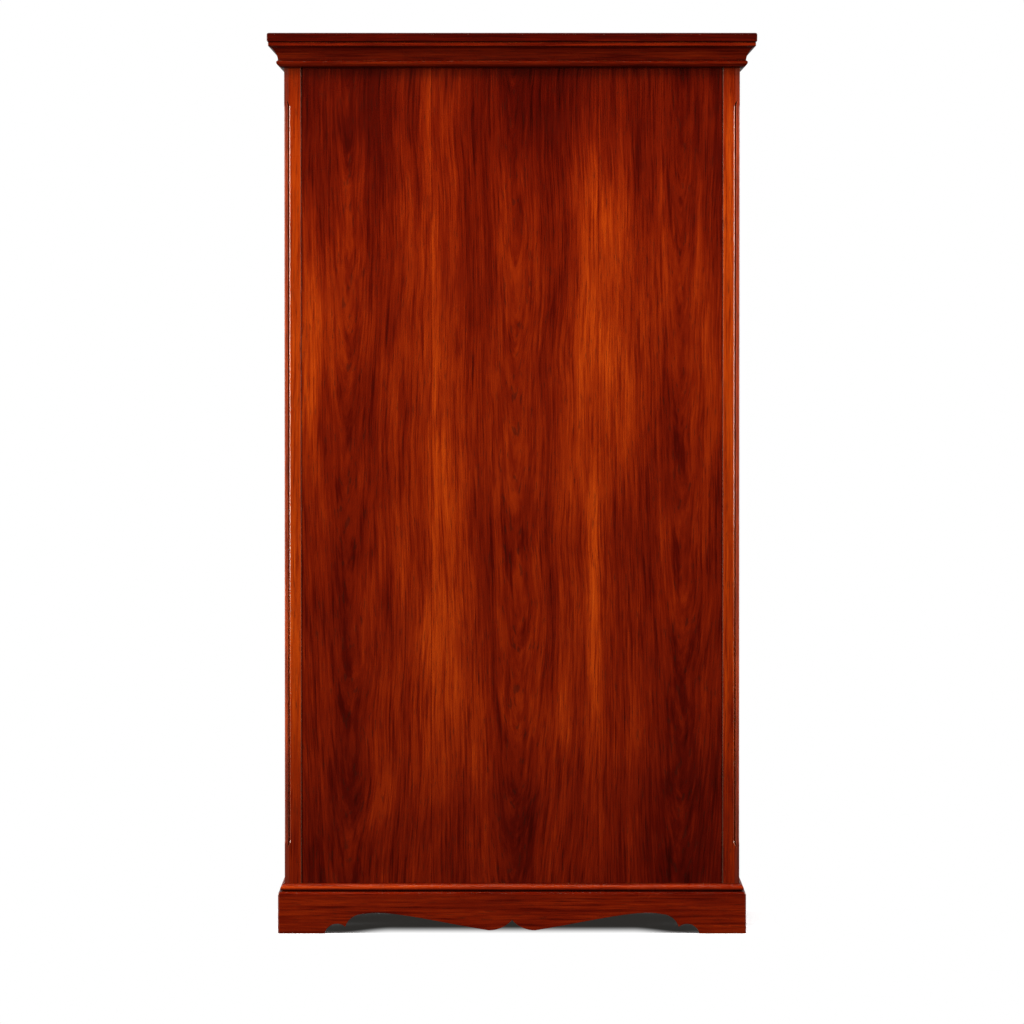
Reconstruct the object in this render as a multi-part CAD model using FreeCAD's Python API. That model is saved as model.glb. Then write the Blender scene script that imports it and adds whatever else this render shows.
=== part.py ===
import FreeCAD, Part
import math
import os

from FreeCAD import Vector

# Armoire in polished mahogany. Four corner posts with stopped corner beads hold flush
# veneered panels; a coved cornice crowns them and a scalloped plinth carries them. The
# face towards -Y is the finished back, and a pair of framed doors closes the face
# towards +Y. Left means -X and right means +X throughout.
# Millimetres, +Z up, origin on the floor under the middle of the case.

# --- Case ---
HEIGHT = 1900.0             # floor to the top of the cornice
CASE_WIDTH = 961.0          # over the corner posts
CASE_DEPTH = 580.0          # over the corner posts
PLINTH_HEIGHT = 88.0
CORNICE_HEIGHT = 71.0
POST = 36.0                 # square section of a corner post
POST_EASE = 2.0             # rounding of the arris beside a panel
PANEL_THICK = 18.0
PANEL_RECESS = 1.5          # panel face behind the post face
TONGUE_THICK = 8.0          # tongue on a panel's long edges, housed in the posts
TONGUE_LENGTH = 8.0
BOARD_THICK = 22.0          # top and bottom boards and the front rails
TOP_RAIL_HEIGHT = 32.0
FIT = 0.1                   # glued joints, each side
SLACK = 0.3                 # loose edges, each side

# --- Stopped bead on the outer corner of each post ---
QUIRK_REACH = 14.2          # moulding's width on each face of the post
THUMB_RADIUS = 4.2          # rounded shoulder beside the quirk
BEAD_RADIUS = 4.4
BEAD_SINK = 0.2             # bead's crown below the post's faces
RUNOUT_RADIUS = 13.0        # cutter leaves the corner on this radius
RUNOUT_ANGLE = 80.0
STOP_ABOVE_PLINTH = 109.0   # straight part of the bead starts here
STOP_BELOW_CORNICE = 85.0   # and ends here

# --- Cornice section: distance out from the case, height above the case's top ---
CORNICE_REACH = 35.5
CORNICE_LAP = 0.5           # moulding's bearing runs this far behind the front rail
DUST_BOARD_THICK = 9.0
DUST_BOARD_LEDGE = 12.0
DUST_BOARD_SINK = 3.0       # dust board below the cornice's top edge
LIP_DROP = 1.5              # small lip that laps down over the posts

# --- Base bead and plinth ---
BASE_BEAD_HEIGHT = 18.0
BASE_BEAD_REACH = 9.5
PLINTH_REACH = 14.0
APRON_THICK = 22.0
PLINTH_EASE = 6.0           # rounding of the plinth's top edge
PLINTH_CORNER = 4.0         # rounding of its upright corners
FOOT_WIDTH = 98.2           # foot at the floor
FOOT_SCROLL = 78.0          # foot's inner edge to the shoulder of the arch
LOBE_LONG = 48.6            # half width of the middle lobes, front and back
LOBE_SIDE = 32.0            # the same at the sides
LOBE_HEIGHT = 6.8           # lobes above the floor
CUSP_HEIGHT = 28.7          # middle cusp between the lobes
# foot's scroll, as (distance in from the foot, height): out, back to a nose, up to the arch
SCROLL = ((18.0, 19.3), (44.0, 14.4), (55.0, 31.5))
ARCH_HEIGHT = 44.0
BLOCK = 40.0                # corner blocks in plinth and cornice
BLOCK_SCREW_INSET = 8.0     # cornice screws off the posts' inner sides
BLOCK_CLEAR = 6.0           # plinth blocks stay this far off the floor

# --- Doors ---
DOOR_THICK = 24.0
DOOR_GAP = 2.4              # at the posts and between the doors
DOOR_GAP_ENDS = 2.5         # at sill and top rail
STILE = 70.0
DOOR_TOP_RAIL = 80.0
DOOR_BOTTOM_RAIL = 110.0
TENON_THICK = 8.0
TENON_LENGTH = 22.0
TENON_SHOULDER = 12.0
GROOVE_DEPTH = 8.0
PANEL_PLAY = 1.0            # door panel's freedom in its grooves, each edge
MEETING_BEAD_WIDTH = 12.0
MEETING_BEAD_PROUD = 4.0

# --- Hinges ---
HINGE_HEIGHT = 76.0
HINGE_INSET = 150.0         # end of door to the middle of the outer hinges
LEAF_THICK = 2.0
LEAF_SINK = 1.0             # let into the wood
LEAF_DEPTH = 22.0
KNUCKLE_RADIUS = 5.0
KNUCKLES = 5
KNUCKLE_GAP = 0.3
PIN_RADIUS = 2.5
PIN_FIT = 0.05
SCREW_RADIUS = 1.7
SCREW_HEAD = 3.3
SCREW_LENGTH = 16.0
SCREW_FIT = 0.05

# --- Lock, key and flush bolts ---
LOCK_HEIGHT = 950.0
LOCK_CASE = (42.0, 13.0, 60.0)
LOCK_WALL = 1.5
LOCK_GUIDE = 10.0           # length of the ledge under the bolt's tail
FOREND = (2.0, 20.0, 84.0)
BOLT = (34.0, 8.0, 18.0)
BOLT_RISE = 5.0             # bolt's underside above the middle of the lock
BOLT_THROW = 9.0
BOLT_FIT = 0.3
STRIKE_SPARE = 2.0          # strike's pocket is this much deeper than the throw
REST_INSET = 0.8            # withdrawn bolts stay this far inside the door's edges
KEY_SETBACK = 26.0          # door edge to key
KEY_DROP = 10.0             # key below the middle of the lock
KEY_RADIUS = 3.0
KEY_FIT = 0.2
KEY_BIT = (2.5, 7.0, 11.0)
KEY_BOW_RADIUS = 8.5
KEY_WIRE_RADIUS = 1.9
KEY_SHANK_OUT = 12.0        # shank in front of the door face
ESCUTCHEON = (22.0, 1.2, 44.0)
KNOB_HEIGHT = 1040.0
KNOB_OUT = 30.0
KNOB_RADIUS = 11.0
KNOB_ROSE = 12.0
KNOB_ROSE_THICK = 1.6
KNOB_NECK = 5.0
KNOB_SPIGOT = 14.0
KNOB_SPIGOT_RADIUS = 4.0
FLUSH_PLATE = (2.0, 18.0, 160.0)
FLUSH_ROD_RADIUS = 3.5
FLUSH_ROD_LENGTH = 130.0
FLUSH_SETBACK = 7.0         # door edge to the rod's centre
FLUSH_TRAVEL = 14.0
FLUSH_FIT = 0.3
KEEPER_FIT = 0.7            # square mortise round the thrown rod, each side
THUMB_PIECE = 6.0

# --- Inside ---
SHELF_HEIGHT = 1560.0
SHELF_THICK = 20.0
SHELF_FRONT_SETBACK = 50.0  # shelf's front edge behind the case's front
CLEAT = (20.0, 30.0)
RAIL_HEIGHT = 1490.0
RAIL_RADIUS = 12.5
RAIL_WALL = 1.5
SOCKET_RADIUS = 24.0
SOCKET_FLANGE = 3.0
SOCKET_WALL = 2.0
SOCKET_CUP = 14.0

# --- Places worked out from the sizes above ---
HALF_WIDTH = CASE_WIDTH / 2
HALF_DEPTH = CASE_DEPTH / 2
CASE_TOP = HEIGHT - CORNICE_HEIGHT
POST_SIDE = HALF_WIDTH - POST           # inner side of the posts, across the width
POST_REAR = HALF_DEPTH - POST           # inner side of the posts, through the depth
PANEL_FACE = HALF_DEPTH - PANEL_RECESS
SIDE_FACE = HALF_WIDTH - PANEL_RECESS
CORNICE_INSIDE = PANEL_RECESS + BOARD_THICK + CORNICE_LAP
DUST_BOARD_LOW = HEIGHT - DUST_BOARD_THICK - DUST_BOARD_SINK
SILL_TOP = PLINTH_HEIGHT + BOARD_THICK
RAIL_UNDER = CASE_TOP - TOP_RAIL_HEIGHT
DOOR_LOW = SILL_TOP + DOOR_GAP_ENDS
DOOR_HIGH = RAIL_UNDER - DOOR_GAP_ENDS
DOOR_EDGE = DOOR_GAP / 2                # meeting edge
DOOR_OUTER = POST_SIDE - DOOR_GAP       # hinge edge
DOOR_FACE = PANEL_FACE
DOOR_BACK = DOOR_FACE - DOOR_THICK
DOOR_MIDDLE = DOOR_FACE - DOOR_THICK / 2
HINGE_X = POST_SIDE - DOOR_GAP / 2
HINGE_Y = HALF_DEPTH + KNUCKLE_RADIUS + KNUCKLE_GAP
HINGE_LEVELS = (DOOR_LOW + HINGE_INSET, (DOOR_LOW + DOOR_HIGH) / 2, DOOR_HIGH - HINGE_INSET)
LEAF_GAP = DOOR_GAP / 2 + LEAF_SINK - LEAF_THICK    # hinge axis to either leaf's near face
KEY_X = DOOR_EDGE + KEY_SETBACK
KEY_Z = LOCK_HEIGHT - KEY_DROP
BOLT_LOW = LOCK_HEIGHT + BOLT_RISE


def box(x0, x1, y0, y1, z0, z1):
    """Block between two corners."""
    return Part.makeBox(x1 - x0, y1 - y0, z1 - z0, Vector(x0, y0, z0))


def rod(radius, start, end):
    """Round bar from one point to another."""
    along = Vector(*end).sub(Vector(*start))
    return Part.makeCylinder(radius, along.Length, Vector(*start), along)


def outline(steps, place):
    """Closed face. A step is a point reached by a line, or a pair (via, point) for an arc."""
    edges = []
    here = steps[0]
    for step in steps[1:] + steps[:1]:
        curved = isinstance(step[0], tuple)
        there = step[1] if curved else step
        if curved:
            edge = Part.Arc(place(*here), place(*step[0]), place(*there)).toShape()
        else:
            edge = Part.makeLine(place(*here), place(*there))
        edges.append(edge)
        here = there
    return Part.Face(Part.Wire(edges))


def mirror_x(shape):
    return shape.mirror(Vector(0, 0, 0), Vector(1, 0, 0))


def mirror_y(shape):
    return shape.mirror(Vector(0, 0, 0), Vector(0, 1, 0))


def join(shapes):
    """One solid from touching or lapping ones."""
    return shapes[0].fuse(shapes[1:]).removeSplitter()


def save(name, *shapes):
    """Write one node; identical fasteners share a node as separate solids."""
    solids = [solid for shape in shapes for solid in shape.Solids]
    node = solids[0] if len(solids) == 1 else Part.makeCompound(solids)
    node.exportStep("parts/" + name + ".step")


def screw(head, direction, length=SCREW_LENGTH, spare=0.0):
    """Countersunk screw, or with spare its hole; the head's face is at the given point."""
    start = Vector(*head)
    along = Vector(*direction)
    cone_height = SCREW_HEAD - SCREW_RADIUS
    cone = Part.makeCone(SCREW_HEAD + spare, SCREW_RADIUS + spare, cone_height, start, along)
    shank = Part.makeCylinder(SCREW_RADIUS + spare, length + spare, start, along)
    return cone.fuse(shank).removeSplitter()


# ---------------------------------------------------------------- posts and panels

def bead_waste(z):
    """What the cutter takes off the outer corner, as a face at height z."""
    spare = 2.0
    lean = math.sqrt(0.5)
    bead = BEAD_RADIUS + BEAD_SINK
    shoulder = QUIRK_REACH - THUMB_RADIUS
    thumb = (QUIRK_REACH - lean * THUMB_RADIUS, THUMB_RADIUS * (1 - lean))
    crown = bead - lean * BEAD_RADIUS
    steps = [
        (QUIRK_REACH, -spare),
        (QUIRK_REACH, 0.0),
        (thumb, (shoulder, THUMB_RADIUS)),
        (bead + BEAD_RADIUS, bead),
        ((crown, crown), (bead, bead + BEAD_RADIUS)),
        (THUMB_RADIUS, shoulder),
        (thumb[::-1], (0.0, QUIRK_REACH)),
        (-spare, QUIRK_REACH),
        (-spare, -spare),
    ]
    return outline(steps, lambda a, b: Vector(HALF_WIDTH - a, HALF_DEPTH - b, z))


def bead_cutter():
    """Straight cut up the corner, with a curved run-out at each end."""
    low = PLINTH_HEIGHT + STOP_ABOVE_PLINTH
    high = CASE_TOP - STOP_BELOW_CORNICE
    out = RUNOUT_RADIUS * math.sqrt(0.5)
    straight = bead_waste(low).extrude(Vector(0, 0, high - low))
    runs = [straight]
    for z, turn in ((low, -1), (high, 1)):
        centre = Vector(HALF_WIDTH + out, HALF_DEPTH + out, z)
        runs.append(bead_waste(z).revolve(centre, Vector(-turn, turn, 0), RUNOUT_ANGLE))
    return runs


def corner_post(panel_on_face):
    """Right front post; panel_on_face grooves it for a panel beside its outer face too."""
    post = box(POST_SIDE, HALF_WIDTH, POST_REAR, HALF_DEPTH, PLINTH_HEIGHT, CASE_TOP)
    arrises = []
    for edge in post.Edges:
        middle = edge.CenterOfMass
        upright = edge.BoundBox.ZLength > POST
        beside_face = abs(middle.x - POST_SIDE) < 1 and abs(middle.y - HALF_DEPTH) < 1
        beside_side = abs(middle.x - HALF_WIDTH) < 1 and abs(middle.y - POST_REAR) < 1
        if upright and (beside_face or beside_side):
            arrises.append(edge)
    post = post.makeFillet(POST_EASE, arrises)
    low = PANEL_RECESS + PANEL_THICK / 2 - TONGUE_THICK / 2 - FIT
    high = low + TONGUE_THICK + 2 * FIT
    deep = TONGUE_LENGTH + SLACK
    cuts = bead_cutter()
    cuts.append(box(HALF_WIDTH - high, HALF_WIDTH - low, POST_REAR - 1, POST_REAR + deep,
                    PLINTH_HEIGHT - 1, CASE_TOP + 1))
    if panel_on_face:
        cuts.append(box(POST_SIDE - 1, POST_SIDE + deep, HALF_DEPTH - high, HALF_DEPTH - low,
                        PLINTH_HEIGHT - 1, CASE_TOP + 1))
    return post.cut(cuts)


def panel(half_length, face, across):
    """Upright panel with tongues, facing +Y, or +X when across is set."""
    inner = face - PANEL_THICK
    tongue = face - PANEL_THICK / 2 - TONGUE_THICK / 2
    reach = half_length + TONGUE_LENGTH
    if across:
        field = box(inner, face, -half_length, half_length, PLINTH_HEIGHT, CASE_TOP)
        edge = box(tongue, tongue + TONGUE_THICK, -reach, reach, PLINTH_HEIGHT, CASE_TOP)
    else:
        field = box(-half_length, half_length, inner, face, PLINTH_HEIGHT, CASE_TOP)
        edge = box(-reach, reach, tongue, tongue + TONGUE_THICK, PLINTH_HEIGHT, CASE_TOP)
    return join([field, edge])


def inner_board(low, high, front):
    """Board between the panels, notched round whichever posts it meets."""
    side = SIDE_FACE - PANEL_THICK
    rear = PANEL_FACE - PANEL_THICK
    board = box(-side, side, -rear, front, low, high)
    notches = []
    for x in (-1, 1):
        for y in (-1, 1):
            notch = box(POST_SIDE - SLACK, HALF_WIDTH, POST_REAR - SLACK, HALF_DEPTH, low, high)
            notch = notch if x > 0 else mirror_x(notch)
            notches.append(notch if y > 0 else mirror_y(notch))
    return board.cut(notches)


def build_case(post_cuts, keeper_cuts, top_cuts, side_cuts):
    """Posts, panels, boards and the two front rails, cut for what fastens to them."""
    front_post = corner_post(False).cut(post_cuts)
    back_post = mirror_y(corner_post(True))
    save("post_front_right", front_post)
    save("post_front_left", mirror_x(front_post))
    save("post_back_right", back_post)
    save("post_back_left", mirror_x(back_post))
    save("back_panel", mirror_y(panel(POST_SIDE, PANEL_FACE, False)))
    side_panel = panel(POST_REAR, SIDE_FACE, True).cut(side_cuts)
    save("side_panel_right", side_panel)
    save("side_panel_left", mirror_x(side_panel))
    rail_back = DOOR_FACE - BOARD_THICK
    save("bottom_board", inner_board(PLINTH_HEIGHT, SILL_TOP, rail_back))
    save("top_board", inner_board(CASE_TOP - BOARD_THICK, CASE_TOP, rail_back).cut(top_cuts))
    sill = box(-POST_SIDE, POST_SIDE, rail_back, DOOR_FACE, PLINTH_HEIGHT, SILL_TOP)
    top_rail = box(-POST_SIDE, POST_SIDE, rail_back, DOOR_FACE, RAIL_UNDER, CASE_TOP)
    save("door_sill", sill.cut(keeper_cuts))
    save("front_top_rail", top_rail.cut(keeper_cuts))


# ---------------------------------------------------------------- cornice, bead, plinth

def mitred_ring(section, inside, outside, low, high):
    """Four mitred lengths of a section given as (distance out, height), by side."""
    lengths = {}
    spans = {"front": (HALF_WIDTH, HALF_DEPTH), "right": (HALF_DEPTH, HALF_WIDTH)}
    for side, (half, face) in spans.items():
        reach = half + outside
        profile = outline(section, lambda out, z: Vector(-reach, face + out, z))
        bar = profile.extrude(Vector(2 * reach, 0, 0))
        plan = [(-half + inside, face - inside), (half - inside, face - inside),
                (half + outside, face + outside), (-half - outside, face + outside)]
        wedge = outline(plan, lambda x, y: Vector(x, y, low)).extrude(Vector(0, 0, high - low))
        length = bar.common(wedge)
        if side == "right":
            length.rotate(Vector(0, 0, 0), Vector(0, 0, 1), -90)
        lengths[side] = length
    lengths["back"] = mirror_y(lengths["front"])
    lengths["left"] = mirror_x(lengths["right"])
    return lengths


def cornice_section():
    """Fascia, quirk, fillet, cove and lower bead, down to the lip on the posts."""
    top = HEIGHT
    low = CASE_TOP
    fascia = CORNICE_REACH
    return [
        (-CORNICE_INSIDE, low),
        (0.0, low),
        (0.0, low - LIP_DROP),
        (4.0, low - LIP_DROP),
        ((5.2, low - 1.0), (8.5, low + 1.0)),
        ((13.9, low + 4.6), (16.3, low + 9.0)),
        ((15.4, low + 12.2), (12.9, low + 13.6)),
        (12.9, low + 17.0),
        ((20.0, low + 33.2), (fascia - 2.5, low + 44.0)),
        (fascia - 2.5, low + 50.5),
        (fascia - 4.0, low + 50.5),
        (fascia - 4.0, low + 52.2),
        (fascia - 3.0, low + 52.2),
        ((fascia - 0.9, low + 53.1), (fascia, low + 55.2)),
        (fascia, top - 4.0),
        ((fascia - 1.2, top - 1.2), (fascia - 4.0, top)),
        (DUST_BOARD_LEDGE - CORNICE_INSIDE, top),
        (DUST_BOARD_LEDGE - CORNICE_INSIDE, DUST_BOARD_LOW),
        (-CORNICE_INSIDE, DUST_BOARD_LOW),
    ]


def build_cornice():
    """Mitred moulding, its glue blocks and the dust board on top."""
    ring = mitred_ring(cornice_section(), CORNICE_INSIDE, CORNICE_REACH,
                       CASE_TOP - LIP_DROP, HEIGHT)
    for side, length in ring.items():
        save("cornice_" + side, length)
    edge = CORNICE_INSIDE - DUST_BOARD_LEDGE + SLACK
    x = HALF_WIDTH - edge
    y = HALF_DEPTH - edge
    save("dust_board", box(-x, x, -y, y, DUST_BOARD_LOW, DUST_BOARD_LOW + DUST_BOARD_THICK))
    x = HALF_WIDTH - CORNICE_INSIDE
    y = HALF_DEPTH - CORNICE_INSIDE
    block = box(x - BLOCK, x, y - BLOCK, y, CASE_TOP, DUST_BOARD_LOW)
    head = (POST_SIDE - BLOCK_SCREW_INSET, POST_REAR - BLOCK_SCREW_INSET, CASE_TOP - BOARD_THICK)
    hole = screw(head, (0, 0, 1), 2 * BOARD_THICK, SCREW_FIT)
    fixing = screw(head, (0, 0, 1), 2 * BOARD_THICK)
    block = block.cut(hole)
    save("cornice_blocks", *four_corners(block))
    save("cornice_screws", *four_corners(fixing))
    return four_corners(hole)


def four_corners(shape):
    """A shape and its three mirror images about the case's two middle planes."""
    pair = [shape, mirror_x(shape)]
    return pair + [mirror_y(one) for one in pair]


def base_bead_section():
    """Sloped bead round the case's foot, with a quirk below its nose."""
    low = PLINTH_HEIGHT
    reach = BASE_BEAD_REACH
    return [
        (0.0, low),
        (reach - 4.0, low),
        (reach - 4.0, low + 3.0),
        (reach - 2.2, low + 3.0),
        ((reach - 0.3, low + 4.6), (reach, low + 7.5)),
        ((reach - 2.4, low + 11.6), (0.0, low + BASE_BEAD_HEIGHT)),
    ]


def apron_waste(half_length, lobe):
    """Scalloped gap between the two feet of one apron, as a face in X and Z."""
    foot = half_length - FOOT_WIDTH
    shoulder = foot - FOOT_SCROLL
    rise = CUSP_HEIGHT - LOBE_HEIGHT
    lobe_radius = (lobe ** 2 + rise ** 2) / (2 * rise)
    via_x = 0.45 * lobe
    via_z = LOBE_HEIGHT + lobe_radius - math.sqrt(lobe_radius ** 2 - (lobe - via_x) ** 2)
    # the arch from its shoulder down to the lobe: (share of the way out, share of its height)
    sweep = [(1.0, 0.92), (0.893, 1.0), (0.713, 0.903), (0.435, 0.57), (0.116, 0.14), (0.0, 0.0)]
    tall = ARCH_HEIGHT - LOBE_HEIGHT
    arch = [(lobe + out * (shoulder - lobe), LOBE_HEIGHT + up * tall) for out, up in sweep]
    (belly, nose, throat) = [(foot - inward, z) for inward, z in SCROLL]

    def half(sign):
        def at(x, z):
            return Vector(sign * x, 0, z)
        curve = Part.BSplineCurve()
        curve.interpolate([at(*point) for point in arch])
        return [
            Part.makeLine(at(foot, -1.0), at(foot, 0.0)),
            Part.Arc(at(foot, 0.0), at(*belly), at(*nose)).toShape(),
            Part.Arc(at(*nose), at(*throat), at(*arch[0])).toShape(),
            curve.toShape(),
            Part.Arc(at(*arch[-1]), at(via_x, via_z), at(0.0, CUSP_HEIGHT)).toShape(),
        ]
    floor_line = Part.makeLine(Vector(-foot, 0, -1.0), Vector(foot, 0, -1.0))
    wire = Part.Wire(Part.__sortEdges__(half(1) + half(-1) + [floor_line]))
    return Part.Face(wire)


def build_base():
    """Base bead, aprons with their feet, and corner blocks."""
    bead = mitred_ring(base_bead_section(), 0.0, BASE_BEAD_REACH,
                       PLINTH_HEIGHT, PLINTH_HEIGHT + BASE_BEAD_HEIGHT)
    for side, length in bead.items():
        save("base_bead_" + side, length)
    x = HALF_WIDTH + PLINTH_REACH
    y = HALF_DEPTH + PLINTH_REACH
    envelope = box(-x, x, -y, y, 0.0, PLINTH_HEIGHT)
    upright = [edge for edge in envelope.Edges if edge.BoundBox.ZLength > 1]
    envelope = envelope.makeFillet(PLINTH_CORNER, upright)
    rim = [edge for edge in envelope.Edges if edge.BoundBox.ZMin > PLINTH_HEIGHT - 1]
    envelope = envelope.makeFillet(PLINTH_EASE, rim)
    inside = APRON_THICK - PLINTH_REACH
    section = [(-inside, 0.0), (PLINTH_REACH, 0.0), (PLINTH_REACH, PLINTH_HEIGHT),
               (-inside, PLINTH_HEIGHT)]
    ring = mitred_ring(section, inside, PLINTH_REACH, 0.0, PLINTH_HEIGHT)
    thick = Vector(0, 3 * APRON_THICK, 0)
    back_start = Vector(0, -y - APRON_THICK, 0)
    long_waste = apron_waste(x, LOBE_LONG).extrude(thick).translated(back_start)
    side_waste = apron_waste(y, LOBE_SIDE).extrude(thick)
    side_waste.rotate(Vector(0, 0, 0), Vector(0, 0, 1), -90)
    side_waste.translate(Vector(x - 2 * APRON_THICK, 0, 0))
    back = ring["back"].common(envelope).cut(long_waste)
    right = ring["right"].common(envelope).cut(side_waste)
    save("plinth_apron_back", back)
    save("plinth_apron_front", mirror_y(back))
    save("plinth_apron_right", right)
    save("plinth_apron_left", mirror_x(right))
    x_in = x - APRON_THICK
    y_in = y - APRON_THICK
    block = box(x_in - BLOCK, x_in, y_in - BLOCK, y_in, BLOCK_CLEAR, PLINTH_HEIGHT)
    save("plinth_blocks", *four_corners(block))


# ---------------------------------------------------------------- hinges

def knuckle_ranges(on_case):
    """Heights taken by one leaf's knuckles, from the hinge's middle."""
    pitch = HINGE_HEIGHT / KNUCKLES
    ranges = []
    for index in range(KNUCKLES):
        if (index % 2 == 0) == on_case:
            low = -HINGE_HEIGHT / 2 + index * pitch
            ranges.append((low + KNUCKLE_GAP / 2, low + pitch - KNUCKLE_GAP / 2))
    return ranges


def leaf_screws(on_case, level, spare=0.0):
    """Three screws through a right-hand leaf, or their holes."""
    sign = 1 if on_case else -1
    x = HINGE_X + sign * LEAF_GAP
    y = HALF_DEPTH - LEAF_DEPTH / 2
    spots = [-HINGE_HEIGHT / 3, 0.0, HINGE_HEIGHT / 3]
    return [screw((x, y, level + spot), (sign, 0, 0), spare=spare) for spot in spots]


def hinge_leaf(on_case, level):
    """Right-hand leaf with its knuckles, let into the post or into the door."""
    sign = 1 if on_case else -1
    near = HINGE_X + sign * LEAF_GAP
    far = near + sign * LEAF_THICK
    x0, x1 = min(near, far), max(near, far)
    half = HINGE_HEIGHT / 2
    plate = box(x0, x1, HALF_DEPTH - LEAF_DEPTH, HALF_DEPTH, level - half, level + half)
    pieces = [plate]
    for low, high in knuckle_ranges(on_case):
        barrel = rod(KNUCKLE_RADIUS, (HINGE_X, HINGE_Y, level + low),
                     (HINGE_X, HINGE_Y, level + high))
        tab = box(x0, x1, HALF_DEPTH - 1, HINGE_Y, level + low, level + high)
        pieces += [barrel, tab]
    bore = rod(PIN_RADIUS + PIN_FIT, (HINGE_X, HINGE_Y, level - half - 1),
               (HINGE_X, HINGE_Y, level + half + 1))
    return join(pieces).cut([bore] + leaf_screws(on_case, level, SCREW_FIT))


def hinge_pocket(on_case, level):
    """Shallow recess for a leaf, in the right post or in the right door's edge."""
    sign = 1 if on_case else -1
    wood = POST_SIDE if on_case else DOOR_OUTER
    deep = wood + sign * LEAF_SINK
    x0, x1 = min(wood - sign, deep), max(wood - sign, deep)
    half = HINGE_HEIGHT / 2 + FIT
    return box(x0, x1, HALF_DEPTH - LEAF_DEPTH - FIT, HALF_DEPTH + 1, level - half, level + half)


def hinge_pin(level):
    """Pin through all five knuckles, with a small button at each end."""
    half = HINGE_HEIGHT / 2
    pin = rod(PIN_RADIUS, (HINGE_X, HINGE_Y, level - half), (HINGE_X, HINGE_Y, level + half))
    buttons = []
    for side in (-1, 1):
        centre = Vector(HINGE_X, HINGE_Y, level + side * half)
        button = Part.makeSphere(KNUCKLE_RADIUS * 0.9, centre, Vector(0, 0, side), 0, 90, 360)
        buttons.append(button)
    return join([pin] + buttons)


def hinge_cuts(on_case):
    """All pockets and screw holes for one side's leaves."""
    cuts = []
    for level in HINGE_LEVELS:
        cuts.append(hinge_pocket(on_case, level))
        cuts += leaf_screws(on_case, level, SCREW_FIT)
    return cuts


def build_hinges():
    """Three butt hinges a door: leaves, pins and screws."""
    case_leaves = [hinge_leaf(True, level) for level in HINGE_LEVELS]
    door_leaves = [hinge_leaf(False, level) for level in HINGE_LEVELS]
    pins = [hinge_pin(level) for level in HINGE_LEVELS]
    case_screws = [one for level in HINGE_LEVELS for one in leaf_screws(True, level)]
    door_screws = [one for level in HINGE_LEVELS for one in leaf_screws(False, level)]
    both_sides = {"case_leaves": case_leaves, "pins": pins, "case_screws": case_screws}
    for name, pieces in both_sides.items():
        save("hinge_" + name, *(pieces + [mirror_x(one) for one in pieces]))
    for name, pieces in (("leaves", door_leaves), ("screws", door_screws)):
        save("hinge_door_" + name + "_right", *pieces)
        save("hinge_door_" + name + "_left", *[mirror_x(one) for one in pieces])


# ---------------------------------------------------------------- doors

def door_slab(x0, x1, z0, z1):
    """Full-thickness piece of the right door."""
    return box(x0, x1, DOOR_BACK, DOOR_FACE, z0, z1)


def door_slot(x0, x1, z0, z1, spare):
    """Piece of the door's middle layer: tenon, panel, or with spare their housing."""
    half = TENON_THICK / 2 + spare
    return box(x0, x1, DOOR_MIDDLE - half, DOOR_MIDDLE + half, z0, z1)


def door_frame():
    """Right door's stiles, rails and panel, before any hardware is let in."""
    inner = DOOR_EDGE + STILE
    outer = DOOR_OUTER - STILE
    low = DOOR_LOW + DOOR_BOTTOM_RAIL
    high = DOOR_HIGH - DOOR_TOP_RAIL
    deep = GROOVE_DEPTH
    held = GROOVE_DEPTH - PANEL_PLAY
    groove = door_slot(inner - deep, outer + deep, low - deep, high + deep, FIT)
    pieces = {}
    mortises = []
    for name, z0, z1 in (("bottom_rail", DOOR_LOW, low), ("top_rail", high, DOOR_HIGH)):
        foot = z0 + TENON_SHOULDER
        head = z1 - TENON_SHOULDER
        reach = TENON_LENGTH + FIT
        tenon = door_slot(inner - TENON_LENGTH, outer + TENON_LENGTH, foot, head, 0.0)
        mortises.append(door_slot(inner - reach, outer + reach, foot - FIT, head + FIT, FIT))
        pieces[name] = join([door_slab(inner, outer, z0, z1), tenon]).cut(groove)
    for name, x0, x1 in (("meeting_stile", DOOR_EDGE, inner), ("hinge_stile", outer, DOOR_OUTER)):
        pieces[name] = door_slab(x0, x1, DOOR_LOW, DOOR_HIGH).cut([groove] + mortises)
    pieces["panel"] = door_slot(inner - held, outer + held, low - held, high + held, 0.0)
    return pieces


def meeting_bead():
    """Rounded strip down the right door's meeting edge."""
    far = DOOR_EDGE + MEETING_BEAD_WIDTH
    crown = ((DOOR_EDGE + far) / 2, DOOR_FACE + MEETING_BEAD_PROUD)
    steps = [(far, DOOR_FACE), (crown, (DOOR_EDGE, DOOR_FACE))]
    section = outline(steps, lambda x, y: Vector(x, y, DOOR_LOW))
    return section.extrude(Vector(0, 0, DOOR_HIGH - DOOR_LOW))


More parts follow.
